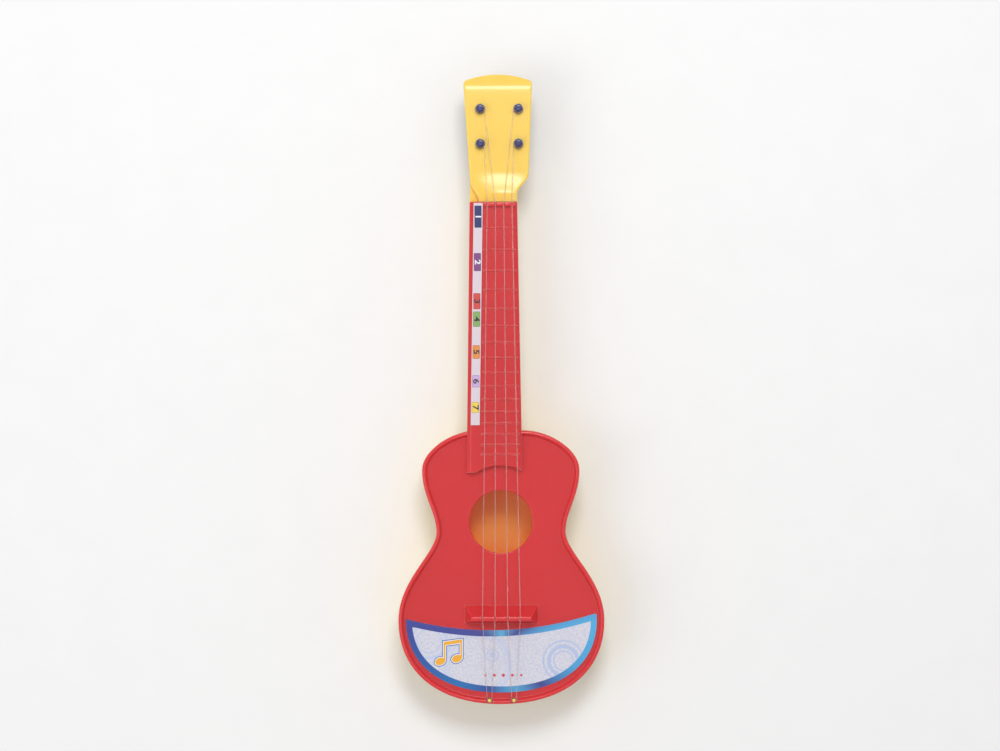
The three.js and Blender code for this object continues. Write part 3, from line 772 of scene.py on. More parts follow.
def head_face(x, y):
    """Height of the headstock's face: rolled off at its top, scooped up to a ridge at its foot."""
    bend = 1.2
    past = y - HEAD_FLAT_END_Y
    roll = HEAD_ROLL_SLOPE * (past + math.hypot(past, bend)) / 2
    share = min(max((RAMP_LOW_Y - y) / (RAMP_LOW_Y - RAMP_HIGH_Y), 0), 1)
    crown = RAMP_CROWN * (x - RAMP_CROWN_X) ** 2
    return HEAD_FACE_Z - roll + (RAMP_RISE - crown) * share**RAMP_POWER


def head_shelf():
    """The flange's lower shelf beside the headstock's foot."""
    flange_x = -fretted_half(HEAD_START_Y) - FLANGE_WIDTH
    _, foot, foot_y, neck, _ = HEAD_LEFT
    plan = [
        (-foot, foot_y + 3), (6 - foot, foot_y + 3), (6 - neck, HEAD_START_Y), (flange_x, HEAD_START_Y),
        (flange_x, HEAD_START_Y + 1),
    ]
    return hull([(x, y, z) for x, y in plan for z in (HEAD_BACK_Z, HEAD_SHELF_Z)], 0.5)


def head_plate():
    """The headstock's plate, its shelf beside the foot and its hollow back."""
    outline = head_outline(HEAD_START_Y - 4)
    plate = relief(outline, head_face, HEAD_BACK_Z, foot_round=0.4, top_round=1.0, grid=1.2)
    cut(plate, box((-FAR, -FAR, 0), (FAR, HEAD_START_Y, FAR)))
    join(plate, head_shelf())
    hollow_plan = inset(head_outline(HEAD_START_Y), WALL)
    hollow = slab(hollow_plan, HEAD_BACK_Z - HEAD_PLATE, HEAD_SHELF_Z - HEAD_PLATE)
    keep = box((-FAR, HEAD_RIGHT[2], 0), (FAR, FAR, FAR))
    return cut(plate, combine(hollow, [keep], "INTERSECT"))


def neck_depth(y):
    """How deep the neck's rounded back is below the parting plane at y."""
    full = PARTING_Z - NECK_BACK_Z
    heel = (1 - smoothstep(y, *HEEL_Y)) * HEEL_DEPTH
    thinning = smoothstep(y, *NECK_THINS_Y) * (full - THIN_DEPTH)
    return full + heel - thinning


def neck_back(high_y, low_y, margin, top):
    """The neck's rounded back between two places, thinner by margin all round."""
    rings = []
    for y in np.linspace(high_y, low_y, 80):
        half = fretted_half(y) + FLANGE_WIDTH / 2 - margin
        depth = neck_depth(y) - margin
        ring = []
        for a in arc(math.pi, math.pi, 32):
            ring.append((half * math.cos(a) - FLANGE_WIDTH / 2, y, PARTING_Z + depth * math.sin(a)))
        ring += [(ring[-1][0], y, top), (ring[0][0], y, top)]
        rings.append(ring)
    return loft(rings)


def tray():
    """The body's back and sides, still solid."""
    steps = 9
    profile = rounded_foot(0, 0, BACK_ROUND, steps) + rounded_top(0, PARTING_Z, LIP, LIP, steps)
    return stepped(back_outline(), profile)


def tray_hollow():
    foot = rounded_foot(WALL, FLOOR, BACK_ROUND - WALL, 6)
    return stepped(back_outline(), [*foot, (WALL, PARTING_Z + 2)])


def back_boss(boss):
    """Profiles of a tube for a screw's head, and of its stepped bore."""
    mouth, shoulder, top = boss["mouth"], boss["shoulder"], boss["top"]
    flare = 0.4
    bore = [
        (COUNTERBORE_R + flare, -2), (COUNTERBORE_R + flare, mouth), (COUNTERBORE_R, mouth + flare),
        (COUNTERBORE_R, shoulder), (SCREW_HOLE_R, shoulder), (SCREW_HOLE_R, top + 1),
    ]
    return [(BOSS_R, boss["low"]), (BOSS_R, top - CLEAR), (BOSS_R - CLEAR, top)], bore


def lugs():
    """The two pins at the tail that hold the lines."""
    profile = [
        (LUG_R, LUG_BOTTOM), (LUG_R, LUG_TOP - 0.5), (LUG_R - 0.15, LUG_TOP - 0.15),
        (LUG_R - 0.5, LUG_TOP),
    ]
    return gather([turned(profile, x, LUG_Y, 24) for x in (-LUG_X, LUG_X)])


def peg_rods(radius, low, high):
    """Upright rods at the four pegs."""
    return gather([turned([(radius, low), (radius, high)], p.x, p.y, 48) for p in PEGS.values()])


def build_back_shell(material):
    tenon_y = NECK_JOINT_Y - NECK_TENON
    shell = join(tray(), neck_back(HEAD_RIGHT[2], tenon_y, 0, PARTING_Z))
    neck_room = neck_back(NECK_TOP_Y - WALL, tenon_y - WALL, WALL, PARTING_Z + 1)
    cut(shell, tray_hollow(), neck_room)
    join(shell, head_plate())
    tubes, bores = at_screws(back_boss, 32)
    join(shell, tubes, peg_rods(PEG_BOSS_R, HEAD_BACK_Z, HEAD_FACE_Z - 1), lugs())
    cut(shell, bores, peg_rods(PEG_BORE_R, HEAD_BACK_Z - 1, HEAD_FACE_Z + 1))
    return finish(shell, "moulded_back", "back_shell", material)


# ---- pegs

def build_post(number, material):
    """The post that the string winds on: flanged, rounded at its top, with a cross hole."""
    x, y, _ = PEGS[f"peg_{number}"]
    low, high = box_mm(f"tuning_post_{number}")
    flange = HEAD_FACE_Z + CLEAR
    flange_top = flange + POST_FLANGE
    profile = [
        (0.05, HEAD_BACK_Z), (POST_PILOT_R, HEAD_BACK_Z), (POST_PILOT_R, low.z),
        (POST_TAIL_R - 0.15, low.z), (POST_TAIL_R, low.z + 0.15), (POST_TAIL_R, HEAD_BACK_Z),
        (POST_R, HEAD_BACK_Z), (POST_R, flange), (POST_FLANGE_R - 0.15, flange),
        (POST_FLANGE_R, flange + 0.2), (POST_FLANGE_R, flange_top - 0.25),
        (POST_FLANGE_R - 0.2, flange_top), (POST_R, flange_top), (POST_R, high.z - 0.8),
        (POST_R - 0.08, high.z - 0.45), (POST_R - 0.3, high.z - 0.15), (POST_R - 0.65, high.z),
        (0.95, high.z), (0.75, high.z - 0.25), (0.05, high.z - 0.3),
    ]
    post = turned(profile, x, y, 40)
    cross_z = high.z - 1.35
    cut(post, tube([(x - 4, y, cross_z), (x + 4, y, cross_z)], 0.45, 16))
    return finish(post, f"peg_post_{number}", f"tuning_post_{number}", material)


def knob_blade(x, y, low_z, half):
    """The knob's wing: an oval pinched at its middle, drawn in towards both ends of its height."""
    shares = (0, 0.02, 0.06, 0.12, 0.35, 0.6, 0.82, 0.94, 1)
    widths = (0.86, 0.93, 0.98, 1, 1, 0.96, 0.86, 0.76, 0.68)
    depths = (0.55, 0.74, 0.9, 1, 0.96, 0.82, 0.78, 0.72, 0.6)
    rings = []
    for share, wide, deep in zip(shares, widths, depths):
        ring = []
        for a in arc(0, 2 * math.pi, 64)[:-1]:
            pinch = 1 - 0.18 * math.sin(a) ** 2
            reach = math.copysign(abs(math.cos(a)) ** 0.8, math.cos(a))
            across = KNOB_WING_THICK / 2 * deep * pinch * reach
            along = half * wide * math.sin(a)
            ring.append((x + across, y + along, mix(low_z, KNOB_WING_TOP, share)))
        rings.append(ring)
    return loft(rings)


def build_knob(number, material):
    """A winged knob with a round hub, open from behind for its screw."""
    x, y, _ = PEGS[f"peg_{number}"]
    low, high = box_mm(f"tuning_knob_{number}")
    hub_low = KNOB_HUB_R - 0.5, KNOB_HUB_LOW
    hub_side = [(KNOB_HUB_R, KNOB_HUB_LOW + 0.6), (KNOB_HUB_R, high.z - 0.4)]
    hub = turned([hub_low, *hub_side, (KNOB_HUB_R - 0.3, high.z)], x, y, 48)
    core_side = [(KNOB_CORE_R, low.z + 0.3), (KNOB_CORE_R, KNOB_HUB_LOW + 1.4)]
    core = turned([(KNOB_CORE_R - 0.3, low.z), *core_side], x, y, 48)
    blade = join(knob_blade(x, y, low.z, (high.y - low.y) / 2), hub, core)
    socket_z = box_mm(f"tuning_post_{number}")[0].z - CLEAR
    head_r = KNOB_SCREW_HEAD_R + 0.4
    hole_r = KNOB_SCREW_SHANK_R + CLEAR
    socket_r = POST_TAIL_R + CLEAR
    bore = [
        (head_r + 0.3, low.z - 1), (head_r + 0.3, low.z), (head_r, low.z + 0.3),
        (head_r, KNOB_SHOULDER_Z), (hole_r, KNOB_SHOULDER_Z), (hole_r, socket_z), (socket_r, socket_z),
        (socket_r, high.z + 1),
    ]
    cut(blade, turned(bore, x, y, 32))
    return finish(blade, f"peg_knob_{number}", f"tuning_knob_{number}", material)


def screw_profile(low_z, tip_z, head_r, shank_r, head_thick):
    """(radius, z) points of a pan-head screw that points up, with its thread as rings."""
    head_top = low_z + head_thick
    profile = []
    for a in quarter_arc(6):
        radius = head_r * (0.35 + 0.65 * math.sin(a))
        profile.append((radius, low_z + head_thick * 0.6 * (1 - math.cos(a))))
    profile += [(head_r, head_top - 0.1), (head_r - 0.1, head_top), (shank_r * 0.85, head_top)]
    pitch = 1.2
    for i in range(int((tip_z - 1.5 - head_top) / pitch)):
        z = head_top + pitch * (i + 0.5)
        profile += [(shank_r * 0.8, z), (shank_r, z + 0.25), (shank_r * 0.8, z + 0.5)]
    return [*profile, (0.1, tip_z)]


def cross_recess(x, y, low_z, head_r, head_thick):
    """Cutters for the cross in a screw's head: two tapered bars."""
    mouth = (low_z - 1, head_r * 0.62, 0.26)
    floor = (low_z + head_thick * 0.62, head_r * 0.3, 0.2)
    bars = []
    for turned_round in (False, True):
        points = []
        for z, reach, half in (mouth, floor):
            for along in (-reach, reach):
                for across in (-half, half):
                    dx, dy = (along, across) if turned_round else (across, along)
                    points.append((x + dx, y + dy, z))
        bars.append(hull(points))
    return bars


def build_screw(node, name, material, head_r, shank_r, head_thick):
    """A cross-recessed pan-head screw, pointing up."""
    low, high = box_mm(node)
    x, y = (low.x + high.x) / 2, (low.y + high.y) / 2
    body = turned(screw_profile(low.z, high.z, head_r, shank_r, head_thick), x, y, 32)
    cut(body, *cross_recess(x, y, low.z, head_r, head_thick))
    return finish(body, name, node, material)


# ---- strings

LINE_R = STRING_R + STRING_GAP
WINDING_PITCH = 2 * LINE_R


def build_winding(number, material):
    """Turns of line round the post, one on another."""
    x, y, _ = PEGS[f"peg_{number}"]
    low, _ = box_mm(f"string_winding_{number}")
    radius = POST_R + LINE_R
    turns, steps = 2, 28
    path = []
    for i in range(turns * steps + 1):
        a = 2 * math.pi * i / steps
        z = low.z + LINE_R + WINDING_PITCH * i / steps
        path.append((x + radius * math.cos(a), y + radius * math.sin(a), z))
    coil = tube(path, STRING_R)
    return finish(coil, f"winding_{number}", f"string_winding_{number}", material, 60)


def string_path(side):
    """The route of one line: lower post, nut, saddle, round the lug, saddle, nut, upper post."""
    seat = LINE_R - NOTCH_DEPTH
    route = []
    pegs = sorted((p for p in PEGS.values() if p.x * side > 0), key=lambda p: p.y)
    for peg, nut_x, saddle_x in zip(pegs, NUT_NOTCH_XS, SADDLE_NOTCH_XS):
        nut_place = (side * nut_x, NUT_Y, FINGERBOARD_Z + NUT_HEIGHT + seat)
        saddle_place = (side * saddle_x, SADDLE_Y, BRIDGE_TOP_Z + seat)
        leg = post_turn(peg, side)
        leg += over_edge(leg[-1], nut_place, saddle_place)
        leg += over_edge(leg[-1], saddle_place, (side * LUG_X, LUG_Y, LUG_LOOP_Z))
        route.append(leg)
    loop = []
    loop_r = LUG_R + LINE_R
    for a in arc(0, math.pi, 12):
        loop.append((side * (LUG_X + loop_r * math.cos(a)), LUG_Y - loop_r * math.sin(a), LUG_LOOP_Z))
    return [*route[0], *loop, *route[1][::-1]]


def post_turn(peg, side):
    """One turn of line round a post, above its winding, that leaves it towards the nut."""
    radius = POST_R + LINE_R
    rise = 0.6
    start_z = box_mm("string_winding_1")[0].z + LINE_R + 3 * WINDING_PITCH
    points = []
    steps = 24
    for i in range(steps + 1):
        share = i / steps
        a = math.pi + 2 * math.pi * (share - 1)
        z = start_z - rise * (1 - share)
        points.append((peg.x + side * radius * math.cos(a), peg.y + radius * math.sin(a), z))
    return points


def over_edge(start, edge, end):
    """Points that carry a line from start over an edge towards end, with a short round bend."""
    a, b, c = Vector(start), Vector(edge), Vector(end)
    reach = 0.8
    into = b + (a - b).normalized() * reach
    out = b + (c - b).normalized() * reach
    middle = into * 0.25 + b * 0.5 + out * 0.25
    return [tuple(into), tuple(middle), tuple(out)]


def build_string_pair(side, material):
    name, node = ("line_left", "string_pair_left") if side < 0 else ("line_right", "string_pair_right")
    return finish(tube(string_path(side), STRING_R), name, node, material, 60)


# ---- labels

def rounded_rectangle(x, y, wide, high, radius):
    points = []
    for quarter, (across, up) in enumerate(((1, 1), (-1, 1), (-1, -1), (1, -1))):
        centre_x = x + across * (wide / 2 - radius)
        centre_y = y + up * (high / 2 - radius)
        for a in quarter_arc(5):
            turn = a + quarter * math.pi / 2
            points.append((centre_x + radius * math.cos(turn), centre_y + radius * math.sin(turn)))
    return points


def paint(piece, material):
    piece.data.materials.clear()
    piece.data.materials.append(material)
    return piece


def gather_painted(pieces):
    """Several solids as one object, each with its own material."""
    bpy.context.view_layer.update()
    for other in bpy.context.selected_objects:
        other.select_set(False)
    for piece in pieces:
        piece.select_set(True)
    bpy.context.view_layer.objects.active = pieces[0]
    bpy.ops.object.join()
    return pieces[0]


def digit(number, x, y, size, base):
    """A digit as a thin raised solid, with its top towards +X."""
    text = bpy.data.curves.new("digit", "FONT")
    text.body = str(number)
    text.size = size
    text.extrude = INK
    text.offset = size * 0.022
    text.align_x = "CENTER"
    text.align_y = "CENTER"
    text.resolution_u = 4
    shown = add_object("digit", text)
    mesh = text_solid(shown)
    bpy.data.objects.remove(shown)
    widened = Matrix.Diagonal((DIGIT_WIDENING, 1, 1, 1))
    on_its_side = Matrix.Rotation(-math.pi / 2, 4, "Z")
    mesh.transform(Matrix.Translation((x, y, base)) @ on_its_side @ widened)
    return add_object("digit", mesh)


def text_solid(shown):
    """A text object's solid as a closed mesh."""
    bpy.context.view_layer.update()
    graph = bpy.context.evaluated_depsgraph_get()
    mesh = bpy.data.meshes.new_from_object(shown.evaluated_get(graph), depsgraph=graph)
    edit(mesh, lambda build: bmesh.ops.remove_doubles(build, verts=build.verts, dist=0.0001))
    return mesh


def build_number_strip(looks):
    """The strip beside the frets: a coloured block with a number at each note of the scale."""
    low, high = box_mm("number_strip")
    plan = [
        (STRIP_TOP_X - STRIP_WIDTH, high.y), (STRIP_TOP_X, high.y), (STRIP_FOOT_X, low.y),
        (STRIP_FOOT_X - STRIP_WIDTH, low.y),
    ]
    pieces = [paint(slab(plan, low.z, high.z), looks["strip_paper"])]
    for number, fret_number in enumerate((1, 3, 5, 6, 8, 10, 12), 1):
        upper, lower = fret_y(fret_number - 1), fret_y(fret_number)
        shift, share = FIRST_BLOCK if number == 1 else OTHER_BLOCKS
        y = (upper + lower) / 2 - shift
        right = mix(STRIP_TOP_X, STRIP_FOOT_X, (high.y - y) / (high.y - low.y))
        x = right - STRIP_WIDTH / 2
        length = (upper - lower) * share
        edge = rounded_rectangle(x, y, BLOCK_WIDTH, length, 0.5)
        block = rounded_rectangle(x, y, BLOCK_WIDTH - BLOCK_EDGE, length - BLOCK_EDGE, 0.4)
        pieces.append(paint(slab(edge, high.z - INK, high.z + INK), looks[f"edge_{number}"]))
        pieces.append(paint(slab(block, high.z - INK, high.z + 2 * INK), looks[f"block_{number}"]))
        ink = looks["ink_white"] if number < 3 else looks["ink_dark"]
        pieces.append(paint(digit(number, x, y, DIGIT_SIZE, high.z + 2 * INK), ink))
    return finish(gather_painted(pieces), "scale_strip", "number_strip", None)


def sag_y(x, border):
    """The crescent's sagging upper edge, lower by a border."""
    level = LABEL_MIDDLE_Y + LABEL_SAG * (x / LABEL_REACH) ** 2 + math.tan(LABEL_TURN) * x
    return level - border * 1.03


def crescent(border):
    """The label's outline, smaller by border all round."""
    lowered = [(x, LABEL_CORNER_Y + (y - LABEL_CORNER_Y) * LABEL_SHORTEN) for x, y in body_outline()]
    outline = eased(inset(lowered, LABEL_INSET + border), spacing=0.4, rounding=0.4)
    below = [(x, y) for x, y in outline if y < sag_y(x, border)]
    pivot_y = LABEL_MIDDLE_Y + 30
    lower = sorted(below, key=lambda p: -math.atan2(p[0], pivot_y - p[1]))
    right, left = lower[0][0], lower[-1][0]
    upper = [(x, sag_y(x, border)) for x in np.linspace(left, right, 60)]
    return [*lower, *upper[1:-1]]


def note_outlines(x, y, size, grow):
    """Convex outlines that make up a pair of beamed notes, wider by grow."""
    outlines = []
    tilt = Matrix.Rotation(math.radians(20), 2)
    feet = (Vector((x - 0.42 * size, y - 0.5 * size)), Vector((x + 0.46 * size, y - 0.36 * size)))
    reach = 0.045 * size + grow
    stem_x = 0.23 * size
    for foot in feet:
        oval = []
        for a in arc(0, 2 * math.pi, 28)[:-1]:
            place = Vector(((0.27 * size + grow) * math.cos(a), (0.19 * size + grow) * math.sin(a)))
            oval.append(tuple(foot + tilt @ place))
        top = foot.y + 1.02 * size
        left, right = foot.x + stem_x - reach, foot.x + stem_x + reach
        outlines += [oval, [(left, foot.y), (right, foot.y), (right, top), (left, top)]]
    beam_left, beam_right = feet[0].x + stem_x - reach, feet[1].x + stem_x + reach
    low, high = y + 0.34 * size - grow, y + 0.52 * size + grow
    rise = 0.14 * size
    beam = [(beam_left, low), (beam_right, low + rise), (beam_right, high + rise), (beam_left, high)]
    return [*outlines, beam]


def build_mark(x, y, size, high_z, looks):
    """A plain pair of beamed notes, printed in three layers."""
    pieces = []
    layers = ((0.9, "mark_blue"), (0.45, "ink_white"), (0, "mark_orange"))
    for level, (grow, look) in enumerate(layers, 1):
        top = high_z + level * INK
        outlines = note_outlines(x, y, size, grow)
        first, *others = [slab(outline, high_z - INK, top) for outline in outlines]
        pieces.append(paint(join(first, *others), looks[look]))
    return pieces


def build_dots(high_z, looks):
    """A row of five plain dots, largest in the middle."""
    dots = []
    for i in range(-2, 3):
        radius = DOT_R - 0.12 * abs(i)
        x = DOTS_PLACE[0] + i * DOT_SPACING
        dot = turned([(radius, high_z - INK), (radius, high_z + INK)], x, DOTS_PLACE[1], 24)
        dots.append(paint(dot, looks["ink_red"]))
    return dots


def build_body_label(looks):
    """The crescent on the lower bout: pale field, coloured border, and plain marks."""
    low, high = box_mm("body_label")
    sheet = paint(slab(crescent(0), low.z, high.z), looks["label_field"])
    border = slab(crescent(0.02), high.z - INK, high.z + INK)
    cut(border, slab(crescent(LABEL_BORDER), high.z - 1, high.z + 1))
    marks = build_mark(*MARK_PLACE, MARK_SIZE, high.z, looks)
    pieces = [sheet, paint(border, looks["label_border"]), *marks, *build_dots(high.z, looks)]
    return finish(gather_painted(pieces), "crescent_label", "body_label", None)


# ---- materials

# Each plastic: colour, colour of worn edges (also a painted highlight along edges), roughness, how far
# light travels inside it in metres for red, green and blue, and the share of light that does
PLASTICS = {
    "red_moulding": ((211, 52, 56), (238, 150, 148), 0.24, (0.006, 0.0008, 0.0006), 0.6),
    "yellow_moulding": ((245, 207, 92), (250, 226, 150), 0.24, (0.003, 0.002, 0.0006), 0.35),
    "blue_moulding": ((48, 50, 102), (112, 116, 158), 0.26, (0.0002, 0.0002, 0.0003), 0.2),
}

# The painted light inside the body, an orange tint and a red glow on the yellow floor: how strong
# the glow is, how far from the sound hole's middle it fades (in millimetres), how far round a point
# shelter is looked for (in metres), and the shares of open sky that count as not sheltered and as
# fully sheltered
PAINTED_RED_GLOW = 0.28
PAINTED_RED_GLOW_REACH = (26, 31)
SHELTER_REACH = 0.08
SHELTERED = (0.42, 0.28)


def new_material(name):
    material = bpy.data.materials.new(name)
    material.use_nodes = True
    tree = material.node_tree
    return material, tree, tree.nodes["Principled BSDF"]


def put(tree, socket, value):
    """Sets an input to a value, or links another node's output to it."""
    if isinstance(value, bpy.types.NodeSocket):
        tree.links.new(value, socket)
    else:
        socket.default_value = value


def node(tree, kind, inputs=None, **settings):
    """Adds a shader node; an input is a value or another node's output."""
    made = tree.nodes.new(kind)
    for key, value in settings.items():
        setattr(made, key, value)
    for key, value in (inputs or {}).items():
        put(tree, made.inputs[key], value)
    return made


def dress(tree, shader, looks):
    """Sets several inputs of a Principled shader."""
    for key, value in looks.items():
        put(tree, shader.inputs[key], value)


def linear(red, green, blue):
    """A colour given in 0 to 255 as seen on a screen, in linear light."""
    def channel(value):
        value = value / 255
        return value / 12.92 if value <= 0.04045 else ((value + 0.055) / 1.055) ** 2.4
    return channel(red), channel(green), channel(blue), 1


def ramp(tree, factor, stops):
    """A colour ramp through (position, colour) stops, each colour in 0 to 255."""
    made = node(tree, "ShaderNodeValToRGB", {"Fac": factor})
    elements = made.color_ramp.elements
    while len(elements) < len(stops):
        elements.new(1)
    for element, (position, colour) in zip(elements, stops):
        element.position = position
        element.color = linear(*colour)
    return made.outputs["Color"]


def blend_colour(tree, factor, a, b):
    made = node(tree, "ShaderNodeMix", data_type="RGBA")
    for key, value in ((0, factor), (6, a), (7, b)):
        put(tree, made.inputs[key], value)
    return made.outputs[2]


def remap(tree, value, low, high, to_low=0.0, to_high=1.0):
    inputs = {"Value": value, 1: low, 2: high, 3: to_low, 4: to_high}
    return node(tree, "ShaderNodeMapRange", inputs).outputs["Result"]


def maths(tree, operation, a, b=0.0):
    return node(tree, "ShaderNodeMath", {0: a, 1: b}, operation=operation).outputs[0]


def noise(tree, place, scale, detail=3.0, roughness=0.55):
    settings = {"Vector": place, "Scale": scale, "Detail": detail, "Roughness": roughness}
    return node(tree, "ShaderNodeTexNoise", settings).outputs["Fac"]


def stretched(tree, place, scale):
    return node(tree, "ShaderNodeMapping", {"Vector": place, "Scale": scale}).outputs["Vector"]


def bumped(tree, height, strength, distance):
    inputs = {"Strength": strength, "Distance": distance, "Height": height}
    return node(tree, "ShaderNodeBump", inputs).outputs["Normal"]


def object_place(tree):
    return node(tree, "ShaderNodeTexCoord").outputs["Object"]


def edge_share(tree, radius):
    """How close a point is to an edge, from 0 to 1."""
    soft = node(tree, "ShaderNodeBevel", {"Radius": radius}, samples=4).outputs["Normal"]
    plain = node(tree, "ShaderNodeNewGeometry").outputs["Normal"]
    agree = node(tree, "ShaderNodeVectorMath", {0: soft, 1: plain}, operation="DOT_PRODUCT")
    return remap(tree, agree.outputs["Value"], 0.995, 0.85)


def sheltered_share(tree):
    """How far a point is shut in by what is round it, from 0 in the open to 1 inside."""
    settings = {"Distance": SHELTER_REACH}
    open_sky = node(tree, "ShaderNodeAmbientOcclusion", settings, samples=6).outputs["AO"]
    return remap(tree, open_sky, *SHELTERED)


def lit_through_red(tree, shader):
    """Paints onto the floor under the sound hole the light that comes through the thin red front: an
    orange tint and a red glow.
    """
    parts = node(tree, "ShaderNodeSeparateXYZ", {"Vector": object_place(tree)})
    near = remap(tree, distance_from(tree, 0, HOLE_Y), *PAINTED_RED_GLOW_REACH, 1.0, 0.0)
    above = maths(tree, "GREATER_THAN", parts.outputs["Z"], (FLOOR - 0.2) * MM)
    # inside is the mask for the painted orange tint and red glow: near the hole, above the bottom, and
    # sheltered
    inside = maths(tree, "MULTIPLY", maths(tree, "MULTIPLY", near, above), sheltered_share(tree))
    base = shader.inputs["Base Color"].links[0].from_socket
    # Painted light: the colour turns orange and the surface glows red where the mask is set
    dress(tree, shader, {
        "Base Color": blend_colour(tree, inside, base, linear(250, 156, 74)),
        "Emission Color": (1, 0.06, 0.03, 1),
        "Emission Strength": maths(tree, "MULTIPLY", inside, PAINTED_RED_GLOW),
    })


def moulded_plastic(name):
    """Glossy injection-moulded plastic: faint flow marks and scuffs, and paler edges that are partly wear
    and partly a painted highlight.
    """
    colour, worn, roughness, travel, share = PLASTICS[name]
    colour, worn = linear(*colour), linear(*worn)
    material, tree, shader = new_material(name)
    place = object_place(tree)
    flow = noise(tree, place, 30.0, 4.0, 0.5)
    fine = noise(tree, place, 420.0, 5.0, 0.6)
    skin = noise(tree, place, 1300.0, 2.0, 0.5)
    scuffs = noise(tree, place, 180.0, 6.0, 0.65)
    deep = node(tree, "ShaderNodeHueSaturation", {"Value": 0.96, "Color": colour}).outputs["Color"]
    tint = blend_colour(tree, remap(tree, flow, 0.3, 0.7), deep, colour)
    # Wear and painted highlight: edges blend towards the paler edge colour, which stands in for rubbed
    # plastic and for the highlight on rims and frets
    wear_and_highlight = maths(tree, "MULTIPLY", edge_share(tree, 0.0006), remap(tree, fine, 0.4, 0.6, 0.35, 0.7))
    grain = maths(tree, "ADD", maths(tree, "MULTIPLY", skin, 0.03), flow)
    dress(tree, shader, {
        "Base Color": blend_colour(tree, wear_and_highlight, tint, worn),
        "Roughness": remap(tree, scuffs, 0.25, 0.75, roughness - 0.03, roughness + 0.03),
        "Normal": bumped(tree, grain, 0.3, 0.00012),
        "IOR": 1.5,
        "Subsurface Weight": share,
        "Subsurface Radius": travel,
        "Subsurface Scale": 1.0,
    })
    return material


def nylon_line():
    """Clear nylon with faint drawn streaks and a slight haze."""
    material, tree, shader = new_material("nylon_line")
    place = object_place(tree)
    streaks = noise(tree, stretched(tree, place, (3000.0, 90.0, 3000.0)), 1.0)
    haze = noise(tree, place, 120.0)
    dress(tree, shader, {
        "Base Color": blend_colour(tree, haze, linear(240, 222, 218), linear(250, 240, 238)),
        "Roughness": remap(tree, streaks, 0.0, 1.0, 0.16, 0.32),
        "Normal": bumped(tree, streaks, 0.2, 0.00003),
        "Transmission Weight": 0.85,
        "IOR": 1.36,
    })
    return material


def zinc_steel():
    """Zinc-plated steel with a mottled passivated skin and bright worn edges."""
    material, tree, shader = new_material("zinc_steel")
    place = object_place(tree)
    mottle = noise(tree, place, 900.0, 4.0)
    skin = blend_colour(tree, mottle, linear(150, 154, 163), linear(206, 209, 214))
    dress(tree, shader, {
        "Base Color": blend_colour(tree, edge_share(tree, 0.0002), skin, linear(226, 228, 230)),
        "Roughness": remap(tree, mottle, 0.0, 1.0, 0.2, 0.45),
        "Normal": bumped(tree, noise(tree, place, 3500.0, 2.0), 0.3, 0.00002),
        "Metallic": 0.95,
    })
    return material


def printed(name, colour):
    """Printed ink on the label's paper."""
    material, tree, shader = new_material(name)
    print_surface(tree, shader, colour, 0.06)
    return material


def print_surface(tree, shader, colour, strength):
    """Adds paper fibre, ink unevenness and varnish gloss to a label's colour."""
    place = object_place(tree)
    fibre = noise(tree, place, 2200.0, 4.0, 0.6)
    darker = node(tree, "ShaderNodeHueSaturation", {"Value": 1 - strength, "Color": colour})
    uneven = remap(tree, fibre, 0.35, 0.65)
    dress(tree, shader, {
        "Base Color": blend_colour(tree, uneven, darker.outputs["Color"], colour),
        "Roughness": remap(tree, noise(tree, place, 300.0), 0.0, 1.0, 0.36, 0.48),
        "Normal": bumped(tree, fibre, 0.15, 0.00003),
    })


def distance_from(tree, x, y):
    """Distance from a point in plan, in millimetres."""
    flat = {0: object_place(tree), 1: (1 / MM, 1 / MM, 0)}
    plan = node(tree, "ShaderNodeVectorMath", flat, operation="MULTIPLY")
    away = node(tree, "ShaderNodeVectorMath", {0: plan.outputs[0], 1: (x, y, 0)}, operation="DISTANCE")
    return away.outputs["Value"]


def ringed(tree, colour, x, y, rings, tone):
    """Lays rings of (radius, width) about a point over a colour."""
    away = distance_from(tree, x, y)
    for radius, width in rings:
        gap = maths(tree, "ABSOLUTE", maths(tree, "SUBTRACT", away, radius))
        colour = blend_colour(tree, remap(tree, gap, width, width * 0.5, 0.0, 0.75), colour, tone)
    return colour


def label_field():
    """The label's pale speckled ground with blue rings and a faint blue spot."""
    material, tree, shader = new_material("label_field")
    place = object_place(tree)
    speckle = remap(tree, noise(tree, place, 900.0, 2.0), 0.4, 0.6)
    cloud = blend_colour(tree, noise(tree, place, 60.0), linear(221, 217, 227), linear(208, 210, 222))
    colour = blend_colour(tree, speckle, linear(199, 200, 216), cloud)
    for x, y, rings, tone in LABEL_RINGS:
        colour = ringed(tree, colour, x, y, rings, linear(*tone))
    print_surface(tree, shader, colour, 0.05)
    return material


def label_border():
    """The label's border, which shades round between indigo and sky blue."""
    material, tree, shader = new_material("label_border")
    centred = {0: object_place(tree), 1: (0, LABEL_CENTRE_Y * MM, 0)}
    place = node(tree, "ShaderNodeVectorMath", centred, operation="SUBTRACT")
    parts = node(tree, "ShaderNodeSeparateXYZ", {"Vector": place.outputs[0]})
    angle = maths(tree, "ARCTAN2", parts.outputs["Y"], parts.outputs["X"])
    share = remap(tree, angle, -math.pi, math.pi)
    print_surface(tree, shader, ramp(tree, share, LABEL_BORDER_SHADES), 0.06)
    return material


def label_looks():
    """Every material of the two labels, by its use."""
    inks = {
        "strip_paper": (216, 203, 212), "ink_white": (236, 236, 242), "ink_dark": (52, 36, 48),
        "ink_red": (206, 70, 84), "mark_blue": (44, 104, 172), "mark_orange": (238, 172, 50),
    }
    for number, (fill, edge) in enumerate(BLOCK_COLOURS, 1):
        inks[f"block_{number}"] = fill
        inks[f"edge_{number}"] = edge
    looks = {name: printed(name, linear(*colour)) for name, colour in inks.items()}
    return {**looks, "label_field": label_field(), "label_border": label_border()}


# ---- studio

FIELD_WIDTH = 0.58
CAMERA_DISTANCE = 1.8
CAMERA_PLACE = (-0.0002, 0.0078)
CAMERA_ROLL = math.radians(-0.25)


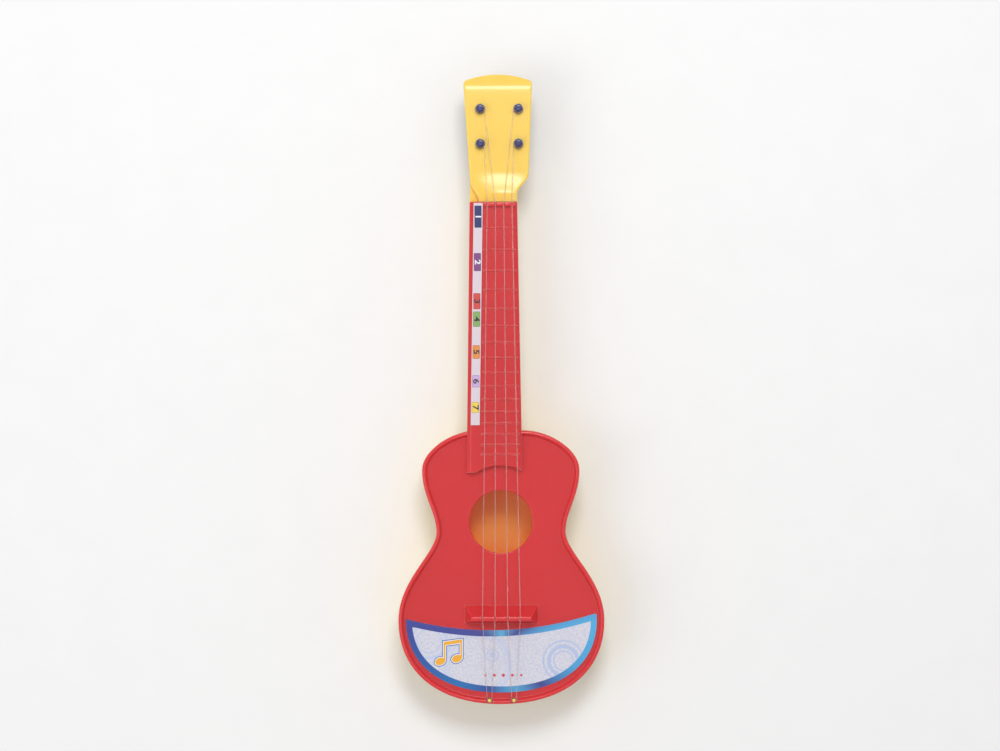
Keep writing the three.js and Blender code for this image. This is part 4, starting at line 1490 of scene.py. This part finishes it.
def build_camera():
    """Looks straight down on the face, from far enough that the view is nearly parallel."""
    data = bpy.data.cameras.new("camera")
    data.sensor_width = 36
    data.lens = data.sensor_width * CAMERA_DISTANCE / FIELD_WIDTH
    data.clip_end = 10
    camera = add_object("camera", data)
    camera.location = (*CAMERA_PLACE, CAMERA_DISTANCE + RIM_Z * MM)
    camera.rotation_euler = (0, 0, CAMERA_ROLL)
    bpy.context.scene.camera = camera


def area_light(name, direction, distance, size, power):
    """A square soft light at a direction from the object's middle, pointing at it."""
    data = bpy.data.lights.new(name, "AREA")
    data.size = size
    data.energy = power
    lamp = add_object(name, data)
    towards = Vector(direction).normalized()
    lamp.location = towards * distance
    lamp.rotation_euler = towards.to_track_quat("Z", "Y").to_euler()


def build_studio():
    """Plain soft light: a key from beyond the headstock, a fill from the left, and a pale room."""
    area_light("key", (0.05, 0.5, 1), 1.6, 0.5, 10.5)
    area_light("fill", (-0.9, -0.3, 1), 2.0, 1.2, 7)
    world = bpy.data.worlds.new("studio")
    world.use_nodes = True
    background = world.node_tree.nodes["Background"]
    background.inputs["Color"].default_value = (1, 1, 1, 1)
    background.inputs["Strength"].default_value = 0.62
    bpy.context.scene.world = world
    bpy.context.scene.view_settings.view_transform = "Standard"


def build_floor():
    """A plain pale floor."""
    reach = 3000
    floor = box((-reach, -reach, -5), (reach, reach, -0.05))
    floor.data.transform(Matrix.Scale(MM, 4))
    floor.name = "floor"
    material, tree, shader = new_material("pale_floor")
    grain = noise(tree, object_place(tree), 40.0)
    dress(tree, shader, {
        "Base Color": blend_colour(tree, grain, linear(236, 236, 236), linear(240, 240, 240)),
        "Roughness": 0.8,
    })
    paint(floor, material)


# ---- assembly

def build_guitar():
    yellow = moulded_plastic("yellow_moulding")
    lit_through_red(yellow.node_tree, yellow.node_tree.nodes["Principled BSDF"])
    blue = moulded_plastic("blue_moulding")
    nylon = nylon_line()
    steel = zinc_steel()
    looks = label_looks()
    build_front_shell(moulded_plastic("red_moulding"))
    build_back_shell(yellow)
    knob_screw = (KNOB_SCREW_HEAD_R, KNOB_SCREW_SHANK_R, KNOB_SCREW_HEAD)
    for number in range(1, len(PEGS) + 1):
        build_post(number, blue)
        build_knob(number, blue)
        build_winding(number, nylon)
        build_screw(f"knob_screw_{number}", f"peg_screw_{number}", steel, *knob_screw)
    shell_screw = (SCREW_HEAD_R, SCREW_SHANK_R, SCREW_HEAD)
    for number in range(1, len(screw_places()) + 1):
        build_screw(f"shell_screw_{number}", f"case_screw_{number}", steel, *shell_screw)
    build_string_pair(-1, nylon)
    build_string_pair(1, nylon)
    build_number_strip(looks)
    build_body_label(looks)


build_camera()
build_studio()
build_floor()
build_guitar()
